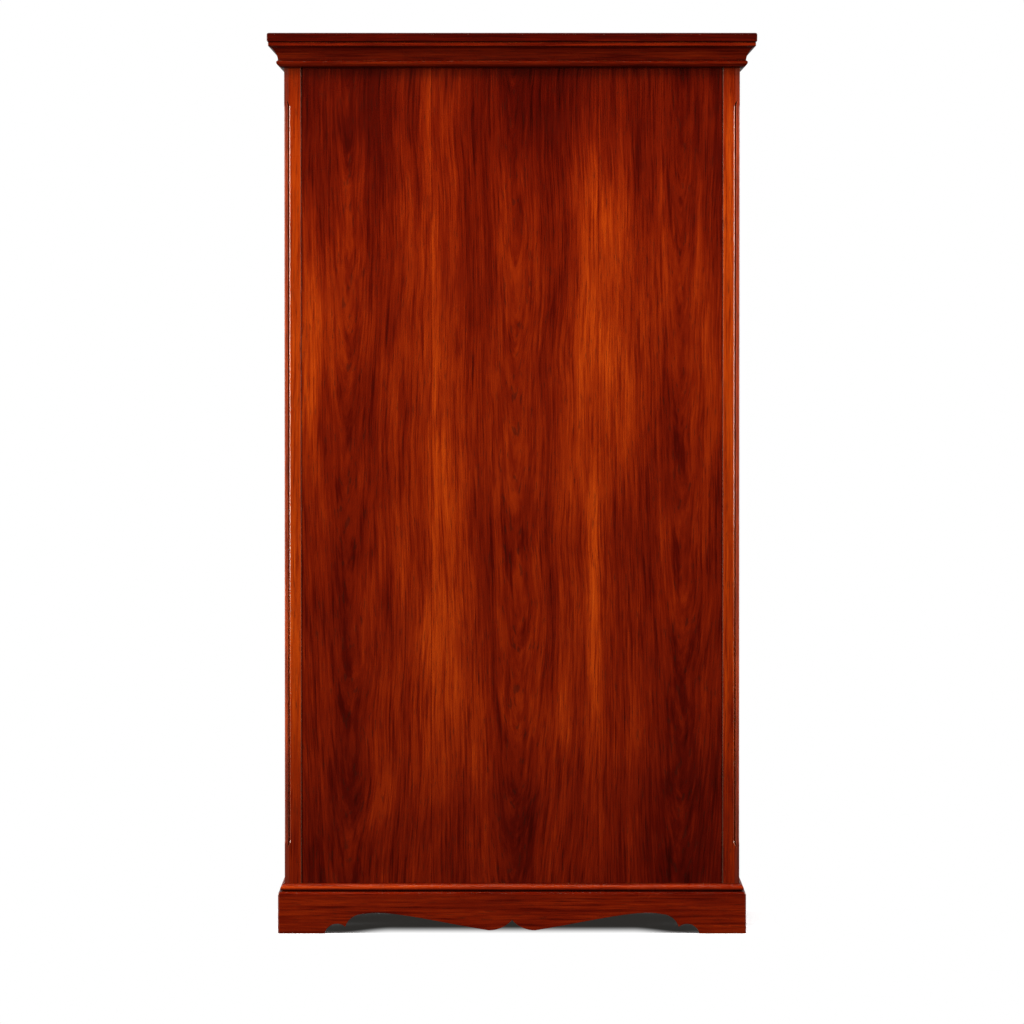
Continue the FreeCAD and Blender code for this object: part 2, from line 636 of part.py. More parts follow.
def knob(spare=0.0):
    """Turned knob with its rose and the spigot glued into the meeting stile."""
    spigot = KNOB_SPIGOT_RADIUS + spare
    x = DOOR_EDGE + STILE / 2
    sweep = KNOB_ROSE - KNOB_NECK
    lean = sweep * math.sqrt(0.5)
    swept_top = KNOB_ROSE_THICK + sweep
    ball_out = KNOB_OUT - KNOB_RADIUS
    steps = [
        (0.0, -KNOB_SPIGOT - spare),
        (spigot, -KNOB_SPIGOT - spare),
        (spigot, 0.0),
        (KNOB_ROSE, 0.0),
        (KNOB_ROSE, KNOB_ROSE_THICK),
        ((KNOB_ROSE - lean, swept_top - lean), (KNOB_NECK, swept_top)),
        (KNOB_NECK, ball_out),
        (0.0, ball_out),
    ]
    profile = outline(steps, lambda r, out: Vector(x + r, DOOR_FACE + out, KNOB_HEIGHT))
    stem = profile.revolve(Vector(x, 0, KNOB_HEIGHT), Vector(0, 1, 0), 360)
    centre = Vector(x, DOOR_FACE + ball_out, KNOB_HEIGHT)
    ball = Part.makeSphere(KNOB_RADIUS, centre, Vector(0, 1, 0))
    return join([stem, ball])


def keyhole(y0, y1):
    """Round hole with a slot below it, as the key and its bit need."""
    width, _, reach = KEY_BIT
    radius = KEY_RADIUS + KEY_FIT
    half = width / 2 + KEY_FIT
    slot = box(KEY_X - half, KEY_X + half, y0, y1, KEY_Z - reach - 2 * KEY_FIT, KEY_Z)
    return join([rod(radius, (KEY_X, y0, KEY_Z), (KEY_X, y1, KEY_Z)), slot])


def edge_plate(size, middle):
    """Plate let in flush with the right door's meeting edge."""
    thick, wide, tall = size
    return box(DOOR_EDGE, DOOR_EDGE + thick, DOOR_MIDDLE - wide / 2, DOOR_MIDDLE + wide / 2,
               middle - tall / 2, middle + tall / 2)


def bolt_box(x0, x1, spare):
    """Block of the lock bolt's section, or with spare the hole that it slides in."""
    half = BOLT[1] / 2 + spare
    return box(x0, x1, DOOR_MIDDLE - half, DOOR_MIDDLE + half,
               BOLT_LOW - spare, BOLT_LOW + BOLT[2] + spare)


def lock_body():
    """Forend and hollow case, with the bolt's guide and the key's holes."""
    deep, thick, tall = LOCK_CASE
    start = DOOR_EDGE + FOREND[0]
    end = start + deep
    half = thick / 2
    inner = half - LOCK_WALL
    case = box(start, end, DOOR_MIDDLE - half, DOOR_MIDDLE + half,
               LOCK_HEIGHT - tall / 2, LOCK_HEIGHT + tall / 2)
    hollow = box(start, end - LOCK_WALL, DOOR_MIDDLE - inner, DOOR_MIDDLE + inner,
                 LOCK_HEIGHT - tall / 2 + LOCK_WALL, LOCK_HEIGHT + tall / 2 - LOCK_WALL)
    guide_top = BOLT_LOW - BOLT_FIT
    guide = box(end - LOCK_GUIDE, end - LOCK_WALL / 2, DOOR_MIDDLE - inner - LOCK_WALL / 2,
                DOOR_MIDDLE + inner + LOCK_WALL / 2, guide_top - LOCK_WALL, guide_top)
    body = join([edge_plate(FOREND, LOCK_HEIGHT), case.cut(hollow), guide])
    tip = rod(KEY_RADIUS + KEY_FIT, (KEY_X, DOOR_MIDDLE - half - 1, KEY_Z),
              (KEY_X, DOOR_MIDDLE, KEY_Z))
    front = keyhole(DOOR_MIDDLE, DOOR_MIDDLE + half + 1)
    mouth = bolt_box(DOOR_EDGE - 1, start + 1, BOLT_FIT)
    return body.cut([tip, front, mouth])


def lock_key():
    """Key in its lock: shank, bit pointing down and ring bow."""
    width, along, reach = KEY_BIT
    tip = DOOR_MIDDLE - LOCK_CASE[1] / 2 + KEY_FIT
    bow_start = DOOR_FACE + KEY_SHANK_OUT
    shank = rod(KEY_RADIUS, (KEY_X, tip, KEY_Z), (KEY_X, bow_start, KEY_Z))
    bit = box(KEY_X - width / 2, KEY_X + width / 2, DOOR_MIDDLE - along / 2,
              DOOR_MIDDLE + along / 2, KEY_Z - reach, KEY_Z)
    centre = Vector(KEY_X, bow_start + KEY_BOW_RADIUS, KEY_Z)
    bow = Part.makeTorus(KEY_BOW_RADIUS, KEY_WIRE_RADIUS, centre, Vector(1, 0, 0))
    return join([shank, bit, bow])


def lock_cuts():
    """Housing for the lock and the keyhole, cut from the right meeting stile."""
    deep, thick, tall = LOCK_CASE
    half = thick / 2 + SLACK
    room = box(DOOR_EDGE, DOOR_EDGE + FOREND[0] + deep + SLACK, DOOR_MIDDLE - half,
               DOOR_MIDDLE + half, LOCK_HEIGHT - tall / 2 - SLACK, LOCK_HEIGHT + tall / 2 + SLACK)
    return [room, edge_plate(FOREND, LOCK_HEIGHT), keyhole(DOOR_MIDDLE, DOOR_FACE + 1)]


def escutcheon():
    """Thin plate with rounded corners round the keyhole."""
    wide, thick, tall = ESCUTCHEON
    centre_z = KEY_Z - KEY_BIT[2] / 2
    plate = box(KEY_X - wide / 2, KEY_X + wide / 2, DOOR_FACE, DOOR_FACE + thick,
                centre_z - tall / 2, centre_z + tall / 2)
    corners = [edge for edge in plate.Edges if edge.BoundBox.YLength > thick / 2
               and edge.BoundBox.XLength < thick and edge.BoundBox.ZLength < thick]
    return plate.makeFillet(wide / 3, corners).cut(keyhole(DOOR_FACE - 1, DOOR_FACE + thick + 1))


def flush_bolt():
    """Plate, rod, cutters and keeper mortise of the upper flush bolt, on the right edge."""
    thick, wide, tall = FLUSH_PLATE
    top = DOOR_HIGH
    x = DOOR_EDGE + FLUSH_SETBACK
    rod_top = top - REST_INSET
    rod_low = rod_top - FLUSH_ROD_LENGTH
    grip = rod_low + THUMB_PIECE
    half = THUMB_PIECE / 2
    bar = rod(FLUSH_ROD_RADIUS, (x, DOOR_MIDDLE, rod_low), (x, DOOR_MIDDLE, rod_top))
    thumb = box(DOOR_EDGE + FLUSH_FIT, x, DOOR_MIDDLE - half, DOOR_MIDDLE + half,
                grip - half, grip + half)
    slot = box(DOOR_EDGE - 1, DOOR_EDGE + thick + 1, DOOR_MIDDLE - half - FLUSH_FIT,
               DOOR_MIDDLE + half + FLUSH_FIT, grip - half - FLUSH_FIT,
               grip + half + FLUSH_TRAVEL + FLUSH_FIT)
    plate = edge_plate(FLUSH_PLATE, top - tall / 2)
    room = FLUSH_ROD_RADIUS + FLUSH_FIT
    channel = box(DOOR_EDGE, x + room, DOOR_MIDDLE - room, DOOR_MIDDLE + room,
                  rod_low - FLUSH_FIT, top + 1)
    half = FLUSH_ROD_RADIUS + KEEPER_FIT
    keeper = box(x - half, x + half, DOOR_MIDDLE - half, DOOR_MIDDLE + half,
                 top, top + FLUSH_TRAVEL + REST_INSET)
    return plate.cut(slot), join([bar, thumb]), [plate, channel], keeper


def flip_z(shape):
    """Mirror about the door's middle height."""
    return shape.mirror(Vector(0, 0, (DOOR_LOW + DOOR_HIGH) / 2), Vector(0, 0, 1))


def build_doors():
    """Both doors with their lock, key, strike, knobs and flush bolts; returns keeper holes."""
    frame = door_frame()
    spigot_hole = knob(FIT)
    cuts = hinge_cuts(False)
    plate, bolt, flush_cuts, keeper = flush_bolt()
    strike_size = (FOREND[0], FOREND[1], BOLT[2] + 2 * FOREND[1])
    strike = edge_plate(strike_size, BOLT_LOW + BOLT[2] / 2)
    pocket = bolt_box(DOOR_EDGE - 1, DOOR_EDGE + BOLT_THROW + STRIKE_SPARE, BOLT_FIT)
    left_cuts = [spigot_hole, strike, pocket] + flush_cuts + [flip_z(one) for one in flush_cuts]
    hinge_stile = frame["hinge_stile"].cut(cuts)
    save("door_right_hinge_stile", hinge_stile)
    save("door_left_hinge_stile", mirror_x(hinge_stile))
    save("door_right_meeting_stile", frame["meeting_stile"].cut([spigot_hole] + lock_cuts()))
    save("door_left_meeting_stile", mirror_x(frame["meeting_stile"].cut(left_cuts)))
    for name in ("top_rail", "bottom_rail", "panel"):
        save("door_right_" + name, frame[name])
        save("door_left_" + name, mirror_x(frame[name]))
    save("door_meeting_bead", meeting_bead())
    save("knob_right", knob())
    save("knob_left", mirror_x(knob()))
    save("lock_case", lock_body())
    bolt_start = DOOR_EDGE + REST_INSET
    save("lock_bolt", bolt_box(bolt_start, bolt_start + BOLT[0], 0.0))
    save("lock_key", lock_key())
    save("lock_escutcheon", escutcheon())
    save("lock_strike", mirror_x(strike.cut(pocket)))
    save("flush_bolt_plates", mirror_x(plate), mirror_x(flip_z(plate)))
    save("flush_bolt_top", mirror_x(bolt))
    save("flush_bolt_bottom", mirror_x(flip_z(bolt)))
    return [mirror_x(keeper), mirror_x(flip_z(keeper))]


# ---------------------------------------------------------------- inside

def build_inside():
    """Hat shelf on its cleats and the hanging rail in its sockets; returns screw holes."""
    side = SIDE_FACE - PANEL_THICK
    front = HALF_DEPTH - SHELF_FRONT_SETBACK
    save("hat_shelf", inner_board(SHELF_HEIGHT, SHELF_HEIGHT + SHELF_THICK, front))
    wide, tall = CLEAT
    cleat = box(side - wide, side, -POST_REAR, front, SHELF_HEIGHT - tall, SHELF_HEIGHT)
    save("shelf_cleats", cleat, mirror_x(cleat))
    face = side - SOCKET_FLANGE
    end = face - SLACK
    outer = rod(RAIL_RADIUS, (-end, 0, RAIL_HEIGHT), (end, 0, RAIL_HEIGHT))
    bore = rod(RAIL_RADIUS - RAIL_WALL, (-side, 0, RAIL_HEIGHT), (side, 0, RAIL_HEIGHT))
    save("hanging_rail", outer.cut(bore))
    cup_radius = RAIL_RADIUS + SLACK + SOCKET_WALL
    flange = rod(SOCKET_RADIUS, (face, 0, RAIL_HEIGHT), (side, 0, RAIL_HEIGHT))
    cup = rod(cup_radius, (face - SOCKET_CUP, 0, RAIL_HEIGHT), (side, 0, RAIL_HEIGHT))
    hollow = rod(RAIL_RADIUS + SLACK, (0, 0, RAIL_HEIGHT), (face, 0, RAIL_HEIGHT))
    fixings = []
    holes = []
    for way in (-1, 1):
        z = RAIL_HEIGHT + way * (cup_radius + SOCKET_RADIUS) / 2
        fixings.append(screw((face, 0, z), (1, 0, 0)))
        holes.append(screw((face, 0, z), (1, 0, 0), spare=SCREW_FIT))
    socket = join([flange, cup]).cut([hollow] + holes)
    save("rail_sockets", socket, mirror_x(socket))
    save("rail_socket_screws", *(fixings + [mirror_x(one) for one in fixings]))
    return holes


os.makedirs("parts", exist_ok=True)
cornice_holes = build_cornice()
build_base()
build_hinges()
keeper_holes = build_doors()
socket_holes = build_inside()
build_case(hinge_cuts(True), keeper_holes, cornice_holes, socket_holes)
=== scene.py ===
import math

import bmesh
import bpy
from bpy.props import FloatProperty, FloatVectorProperty, IntProperty, PointerProperty
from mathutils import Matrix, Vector


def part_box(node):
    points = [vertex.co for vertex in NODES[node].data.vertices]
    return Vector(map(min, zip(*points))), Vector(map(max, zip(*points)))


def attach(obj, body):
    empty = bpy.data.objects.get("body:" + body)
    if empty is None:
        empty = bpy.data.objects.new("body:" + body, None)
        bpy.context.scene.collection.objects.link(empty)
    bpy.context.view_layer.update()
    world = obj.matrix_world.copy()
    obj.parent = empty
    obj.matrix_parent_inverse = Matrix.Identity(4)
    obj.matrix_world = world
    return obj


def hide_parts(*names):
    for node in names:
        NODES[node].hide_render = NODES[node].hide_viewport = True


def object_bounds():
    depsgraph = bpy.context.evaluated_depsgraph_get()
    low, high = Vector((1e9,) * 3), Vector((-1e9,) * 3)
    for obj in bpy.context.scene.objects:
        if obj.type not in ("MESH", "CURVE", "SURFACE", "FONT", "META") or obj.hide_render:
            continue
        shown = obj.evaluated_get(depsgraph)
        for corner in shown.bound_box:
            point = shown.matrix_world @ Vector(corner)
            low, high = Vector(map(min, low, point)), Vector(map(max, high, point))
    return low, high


bl_info = {
    "name": "Polished mahogany armoire",
    "version": (1, 0, 0),
    "blender": (4, 5, 0),
    "location": "3D View > Sidebar > Armoire",
    "description": "Finishes the armoire's timber, fits its brassware and sets up a plain studio",
    "category": "Object",
}

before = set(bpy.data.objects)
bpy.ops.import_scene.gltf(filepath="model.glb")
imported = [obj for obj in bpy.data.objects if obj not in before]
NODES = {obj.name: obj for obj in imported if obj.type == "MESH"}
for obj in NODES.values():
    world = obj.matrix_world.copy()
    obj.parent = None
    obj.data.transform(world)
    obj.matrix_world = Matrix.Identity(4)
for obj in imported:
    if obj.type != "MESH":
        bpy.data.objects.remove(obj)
CAD_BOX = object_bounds()
CASE_HEIGHT = CAD_BOX[1].z
PANEL_LOW, PANEL_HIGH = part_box("back_panel")
# a post's two edges, measured from the middle; the inner one bounds the veneered back
POST_INNER, POST_OUTER = (corner.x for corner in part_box("post_back_right"))
SIDES = ("left", "right")

# the turn that lays a pattern's grain along a piece
UP, ALONG_X, ALONG_Y = (0.0, 0.0, 0.0), (0.0, math.pi / 2, 0.0), (math.pi / 2, 0.0, 0.0)


# -------------------- node building

def add(tree, kind, inputs=None, **settings):
    """New node with its settings; each input gets a value or another node's output."""
    node = tree.nodes.new(kind)
    for name, value in settings.items():
        setattr(node, name, value)
    for key, value in (inputs or {}).items():
        if isinstance(value, bpy.types.NodeSocket):
            tree.links.new(value, node.inputs[key])
        else:
            node.inputs[key].default_value = value
    return node


def calc(tree, operation, *terms):
    """Output of one maths node."""
    return add(tree, "ShaderNodeMath", dict(enumerate(terms)), operation=operation).outputs[0]


def plus(tree, total, *terms):
    """Sum of all its terms."""
    for term in terms:
        total = calc(tree, "ADD", total, term)
    return total


def less(tree, first, second):
    """First term without the second."""
    return calc(tree, "SUBTRACT", first, second)


def times(tree, first, second):
    """Product of two terms."""
    return calc(tree, "MULTIPLY", first, second)


def swing(tree, value, amount):
    """A pattern's value made to vary about zero, by an amount for a whole unit of it."""
    return times(tree, less(tree, value, 0.5), amount)


def split(tree, vector):
    """The X, Y and Z outputs of a vector."""
    return add(tree, "ShaderNodeSeparateXYZ", {0: vector}).outputs


def joined(tree, **parts):
    """Vector made from its X, Y and Z; one that is left out is 0."""
    return add(tree, "ShaderNodeCombineXYZ", parts).outputs[0]


def shifted(tree, vector, by):
    """Vector moved by another one."""
    return add(tree, "ShaderNodeVectorMath", {0: vector, 1: by}, operation="ADD").outputs[0]


def stretched(tree, vector, across, along):
    """Coordinates scaled for a pattern that runs with the grain (Z)."""
    scale = (across, across, along)
    return add(tree, "ShaderNodeVectorMath", {0: vector, 1: scale}, operation="MULTIPLY").outputs[0]


def noise(tree, vector, scale=1.0, detail=2.0, roughness=0.5):
    """Noise output, about 0.5 in the mean."""
    inputs = {"Vector": vector, "Scale": scale, "Detail": detail, "Roughness": roughness}
    return add(tree, "ShaderNodeTexNoise", inputs, noise_dimensions="3D").outputs["Fac"]


def spread(tree, value, low, high, to_low=0.0, to_high=1.0):
    """Value from low..high eased onto another range, and held at its ends."""
    inputs = {"Value": value, "From Min": low, "From Max": high,
              "To Min": to_low, "To Max": to_high}
    node = add(tree, "ShaderNodeMapRange", inputs, interpolation_type="SMOOTHSTEP")
    return node.outputs["Result"]


def mixed(tree, share, first, second):
    """Blend of two colours, each an output or its red, green and blue."""
    first, second = (end if isinstance(end, bpy.types.NodeSocket) else (*end, 1.0)
                     for end in (first, second))
    node = add(tree, "ShaderNodeMix", {0: share, 6: first, 7: second}, data_type="RGBA")
    return node.outputs[2]


def ramp(tree, value, stops):
    """Colour along a list of (position, colour) stops."""
    node = add(tree, "ShaderNodeValToRGB", {"Fac": value})
    band = node.color_ramp
    band.elements[0].position, band.elements[0].color = stops[0][0], (*stops[0][1], 1.0)
    band.elements[1].position, band.elements[1].color = stops[-1][0], (*stops[-1][1], 1.0)
    for position, colour in stops[1:-1]:
        band.elements.new(position).color = (*colour, 1.0)
    return node.outputs["Color"]


def new_tree(name, kind, inputs, outputs):
    """Empty node tree with its sockets, each given as (name, kind of socket)."""
    tree = bpy.data.node_groups.new(name, kind)
    for way, sockets in (("INPUT", inputs), ("OUTPUT", outputs)):
        for label, socket in sockets:
            tree.interface.new_socket(label, in_out=way, socket_type="NodeSocket" + socket)
    entry = tree.nodes.new("NodeGroupInput")
    leave = tree.nodes.new("NodeGroupOutput")
    return tree, entry.outputs, leave.inputs


def new_material(name):
    """New material with its node tree and its shader."""
    material = bpy.data.materials.new(name)
    material.use_nodes = True
    return material, material.node_tree, material.node_tree.nodes["Principled BSDF"]


def own_place(tree):
    """Place in a piece's own coordinates."""
    return add(tree, "ShaderNodeTexCoord").outputs["Object"]


def set_relief(tree, shader, height, strength, distance, **over):
    """Give a shader fine relief; a Normal may be given to lay it over."""
    inputs = {"Height": height, "Strength": strength, "Distance": distance, **over}
    bump = add(tree, "ShaderNodeBump", inputs)
    tree.links.new(bump.outputs["Normal"], shader.inputs["Normal"])


# -------------------- timber

# layers of the figure: (fineness across the grain, fineness along it, detail, roughness)
FIGURE = {
    "broad": (15.0, 0.9, 3.0, 0.55),
    "mottle": (19.0, 5.5, 3.0, 0.55),
    "narrow": (72.0, 1.9, 3.0, 0.60),
    "lines": (185.0, 7.0, 3.0, 0.60),
    "fibre": (360.0, 9.0, 3.0, 0.70),
    "fleck": (560.0, 34.0, 1.0, 0.50),
}
MEAN_TONE = 0.46
# colours of the stained wood from the darkest vein to the palest
STAIN = (
    (0.0, (0.026, 0.0006, 0.0001)), (0.25, (0.070, 0.0018, 0.0001)),
    (0.45, (0.140, 0.0062, 0.0003)), (0.62, (0.230, 0.0160, 0.0006)),
    (0.80, (0.370, 0.0380, 0.0012)), (1.0, (0.520, 0.0800, 0.0040)),
)
PORE_COLOUR = (0.020, 0.0012, 0.0004)
# colour of the painted shade mixed in where ambient occlusion finds a quirk, hollow or joint
HOLLOW_SHADE_COLOUR = (0.012, 0.0015, 0.0006)
RUBBED_COLOUR = (0.42, 0.085, 0.010)
WARM_SHEEN = (1.0, 0.70, 0.42, 1.0)
ARRIS_RADIUS, QUIRK_REACH = 0.0012, 0.010
COAT_WEIGHT, COAT_ROUGHNESS = 0.22, 0.14
# a post's lacquer is clearer, and nearly gone where it is rubbed
POST_COAT_WEIGHT, RUBBED_COAT_WEIGHT, POST_COAT_ROUGHNESS = 0.9, 0.03, 0.06
# width of a post's corner bead with its quirk, and of the step where the bead's wear starts
BEAD_WIDTH, BEAD_STEP = 0.0100, 0.0012
# how far the log's heart lies behind a leaf at the floor, how much nearer it comes in a metre of
# height, how far the rings sway, and how much further into the log the next leaf was cut
HEART_DEPTH, LEAF_TILT, RING_SWAY, NEXT_LEAF = 0.082, 0.037, 0.034, 0.021
# the leaves' seams are stained darker; the rebate's value is painted shade along the panel's edge
# beside each post
SEAM_STAIN, SIDE_SEAM_STAIN, REBATE_SHADE = -0.22, -0.18, -0.15
# the fascia's painted shade, and the distances below the top over which it fades out
FASCIA_SHADE, FASCIA_EDGE = -0.29, (0.022, 0.018)

PATCH_SIZES = ("Middle", "Level", "Half width", "Half height", "Strength")
# light and dark patches of the back veneer, each in the order of PATCH_SIZES
BACK_STREAKS = (
    (-0.428, 1.24, 0.028, 0.24, 0.26),
    (-0.300, 1.76, 0.060, 0.14, -0.09),
    (0.408, 1.70, 0.050, 0.30, -0.11),
    (-0.160, 1.62, 0.052, 0.32, 0.26),
    (-0.190, 1.12, 0.040, 0.30, 0.08),
    (-0.142, 0.76, 0.048, 0.44, 0.22),
    (-0.163, 1.03, 0.010, 0.30, 0.13),
    (0.235, 0.30, 0.050, 0.20, 0.07),
    (-0.250, 0.30, 0.040, 0.20, 0.06),
    (0.087, 1.70, 0.022, 0.14, 0.07),
    (0.122, 1.08, 0.038, 0.22, 0.09),
    (-0.325, 1.05, 0.045, 0.25, -0.07),
    (0.330, 1.12, 0.032, 0.13, -0.07),
    (-0.400, 0.28, 0.070, 0.18, -0.07),
    (0.172, 1.44, 0.024, 0.24, 0.18),
    (0.205, 1.36, 0.066, 0.42, 0.20),
    (0.265, 1.25, 0.030, 0.26, 0.10),
    (0.425, 1.12, 0.020, 0.26, 0.10),
    (0.170, 0.60, 0.015, 0.30, 0.24),
    (-0.360, 0.55, 0.072, 0.55, -0.13),
    (0.375, 0.55, 0.062, 0.52, -0.12),
    (0.020, 0.20, 0.050, 0.24, -0.12),
    (0.045, 1.78, 0.030, 0.14, -0.12),
)
# painted shade in the cornice's quirks and under its lip, and painted highlights on its rounds:
# (distance below the top, half width, strength)
CORNICE_SHADING_BANDS = (
    (0.0014, 0.0012, -0.10), (0.0158, 0.0014, 0.10), (0.0296, 0.0028, -0.32),
    (0.0420, 0.0065, 0.06), (0.0572, 0.0026, -0.22), (0.0632, 0.0018, 0.08),
    (0.0715, 0.0020, -0.45),
)
# painted shade over and under the bead on the plinth, with a painted highlight on its slope:
# (height, half width, strength)
BASE_SHADING_BANDS = ((0.1062, 0.0018, -0.34), (0.0990, 0.0026, 0.18), (0.0855, 0.0026, -0.10))


def streak_group():
    """Soft patch added to a tone, for veneer streaks and for painted shade and highlight bands: its
    strength at the middle, fading across and along.
    """
    tree, given, result = new_tree("Streak and shade band", "ShaderNodeTree", [
        (label, "Float") for label in ("Across", "Height", *PATCH_SIZES)], [("Light", "Float")])
    out = calc(tree, "DIVIDE", less(tree, given["Across"], given["Middle"]), given["Half width"])
    up = calc(tree, "DIVIDE", less(tree, given["Height"], given["Level"]), given["Half height"])
    far = calc(tree, "POWER", calc(tree, "ABSOLUTE", up), 3.0)
    fade = calc(tree, "EXPONENT", times(tree, plus(tree, times(tree, out, out), far), -1.0))
    tree.links.new(times(tree, fade, given["Strength"]), result["Light"])
    return tree


def with_patches(tree, value, across, height, patches):
    """Value with soft patches added, each in the order of PATCH_SIZES."""
    group = bpy.data.node_groups.get("Streak and shade band") or streak_group()
    for patch in patches:
        inputs = {"Across": across, "Height": height, **dict(zip(PATCH_SIZES, patch))}
        node = add(tree, "ShaderNodeGroup", inputs, node_tree=group)
        value = plus(tree, value, node.outputs["Light"])
    return value


def with_bands(tree, value, height, bands):
    """Value with soft level bands of painted shade and highlight added: (middle, half width,
    strength).
    """
    return with_patches(tree, value, height, 0.0, [
        (middle, 0.0, half_width, 1.0, strength) for middle, half_width, strength in bands])


def mahogany_group():
    """Stained mahogany: X and Y run across the grain, Z along it."""
    tree, given, result = new_tree(
        "Mahogany", "ShaderNodeTree",
        [("Place", "Vector"), ("Light", "Float"), ("Streaks", "Float")],
        [("Color", "Color"), ("Roughness", "Float"), ("Relief", "Float")])
    place = given["Place"]
    slow = swing(tree, noise(tree, stretched(tree, place, 4.0, 1.6)), 0.012)
    quick = swing(tree, noise(tree, stretched(tree, place, 26.0, 7.0)), 0.0016)
    bent = shifted(tree, place, joined(tree, X=plus(tree, slow, quick)))
    layer = {name: noise(tree, stretched(tree, bent, across, along), detail=detail,
                         roughness=roughness)
             for name, (across, along, detail, roughness) in FIGURE.items()}

    figure = plus(tree, swing(tree, layer["broad"], 0.66), swing(tree, layer["mottle"], 0.48),
                  swing(tree, layer["narrow"], 0.54))
    tone = plus(tree, times(tree, figure, given["Streaks"]), swing(tree, layer["fibre"], 0.60),
                spread(tree, layer["lines"], 0.50, 0.70, 0.04, -0.14), MEAN_TONE, given["Light"])
    pores = spread(tree, layer["fleck"], 0.60, 0.72)
    colour = mixed(tree, times(tree, pores, 0.46), ramp(tree, tone, STAIN), PORE_COLOUR)
    tree.links.new(colour, result["Color"])

    gloss = noise(tree, place, scale=9.0, detail=3.0, roughness=0.6)
    rough = plus(tree, spread(tree, gloss, 0.2, 0.8, 0.25, 0.29), times(tree, pores, 0.08))
    tree.links.new(rough, result["Roughness"])
    relief = less(tree, times(tree, layer["fibre"], 0.35), pores)
    tree.links.new(relief, result["Relief"])
    return tree


def handled_edges(tree, colour):
    """Colour with painted shade in the quirks and hollows, rubbed lighter on the arrises, and a
    softened normal.
    """
    soft = add(tree, "ShaderNodeBevel", {"Radius": ARRIS_RADIUS}, samples=4).outputs[0]
    flat = add(tree, "ShaderNodeNewGeometry").outputs["Normal"]
    turn = add(tree, "ShaderNodeVectorMath", {0: soft, 1: flat}, operation="DOT_PRODUCT")
    arris = spread(tree, turn.outputs["Value"], 0.99, 0.88)
    patchy = noise(tree, own_place(tree), scale=35.0, detail=4.0)
    rubbed = times(tree, arris, spread(tree, patchy, 0.35, 0.65, 0.05, 0.35))
    # painted shade: the colour darkens where ambient occlusion finds a quirk, hollow or joint
    hollow = add(tree, "ShaderNodeAmbientOcclusion", {"Distance": QUIRK_REACH}, samples=4,
                 only_local=False)
    hollow_shade = spread(tree, hollow.outputs["AO"], 0.85, 0.35, 0.0, 0.75)
    dark = mixed(tree, hollow_shade, colour, HOLLOW_SHADE_COLOUR)
    return mixed(tree, rubbed, dark, RUBBED_COLOUR), soft


def polished(name, place, grain, light, streaks=1.0, leaves=None, rubbed_post=False):
    """Lacquered timber; leaves, when given, returns the grain's place and its light."""
    material, tree, shader = new_material(name)
    coordinates = own_place(tree)
    where = add(tree, "ShaderNodeMapping", {
        "Vector": coordinates, "Rotation": grain, "Location": place}).outputs["Vector"]
    if leaves is not None:
        where, light = leaves(tree, coordinates, where, light)
    group = bpy.data.node_groups.get("Mahogany") or mahogany_group()
    wood = add(tree, "ShaderNodeGroup", {"Place": where, "Light": light, "Streaks": streaks},
               node_tree=group).outputs
    colour, normal = handled_edges(tree, wood["Color"])
    rough, coat_roughness = wood["Roughness"], COAT_ROUGHNESS
    shader.inputs["Coat Weight"].default_value = COAT_WEIGHT
    if rubbed_post:
        rubbed = post_wear(tree, coordinates)
        rough, coat_roughness = plus(tree, rough, times(tree, rubbed, 0.35)), POST_COAT_ROUGHNESS
        coat = spread(tree, rubbed, 0.0, 1.0, POST_COAT_WEIGHT, RUBBED_COAT_WEIGHT)
        tree.links.new(coat, shader.inputs["Coat Weight"])
    tree.links.new(colour, shader.inputs["Base Color"])
    tree.links.new(rough, shader.inputs["Roughness"])
    tree.links.new(normal, shader.inputs["Coat Normal"])
    set_relief(tree, shader, wood["Relief"], 0.10, 0.0003, Normal=normal)
    shader.inputs["Coat Roughness"].default_value = coat_roughness
    shader.inputs["Specular IOR Level"].default_value = 0.5
    shader.inputs["Specular Tint"].default_value = WARM_SHEEN
    return material


def post_wear(tree, coordinates):
    """Where a post's polish is rubbed thin: 1 on the corner bead and on the inner arris."""
    out = calc(tree, "ABSOLUTE", split(tree, coordinates)["X"])
    bead = POST_OUTER - BEAD_WIDTH
    return calc(tree, "MAXIMUM", spread(tree, out, bead, bead + BEAD_STEP),
                spread(tree, out, POST_INNER + 0.0035, POST_INNER + 0.0012))


def post_grain(tree, coordinates, where, light):
    """A post's own place, with painted shade at its head under the cornice, towards its foot, on
    its corner bead, along its joint with the panel and on the posts at the right.
    """
    parts = split(tree, coordinates)
    height, across = parts["Z"], parts["X"]
    out = calc(tree, "ABSOLUTE", across)
    bead = POST_OUTER - BEAD_WIDTH
    # painted shade: darker at the foot, under the cornice at the head, on the posts at the right
    # where less light falls, in the joint with the panel, and on the bead
    changes = [spread(tree, value, start, end, 0.0, change) for value, start, end, change in (
        (height, 0.44, 0.20, -0.11), (height, 1.66, 1.79, -0.16), (across, -0.1, 0.1, -0.035),
        (out, POST_INNER + 0.0020, POST_INNER + 0.0007, -0.40),
        (out, bead, bead + BEAD_STEP, -0.09))]
    # painted shade: the whole post also darkens towards its foot
    return where, plus(tree, spread(tree, height, 0.85, 0.15, light, light - 0.10), *changes)


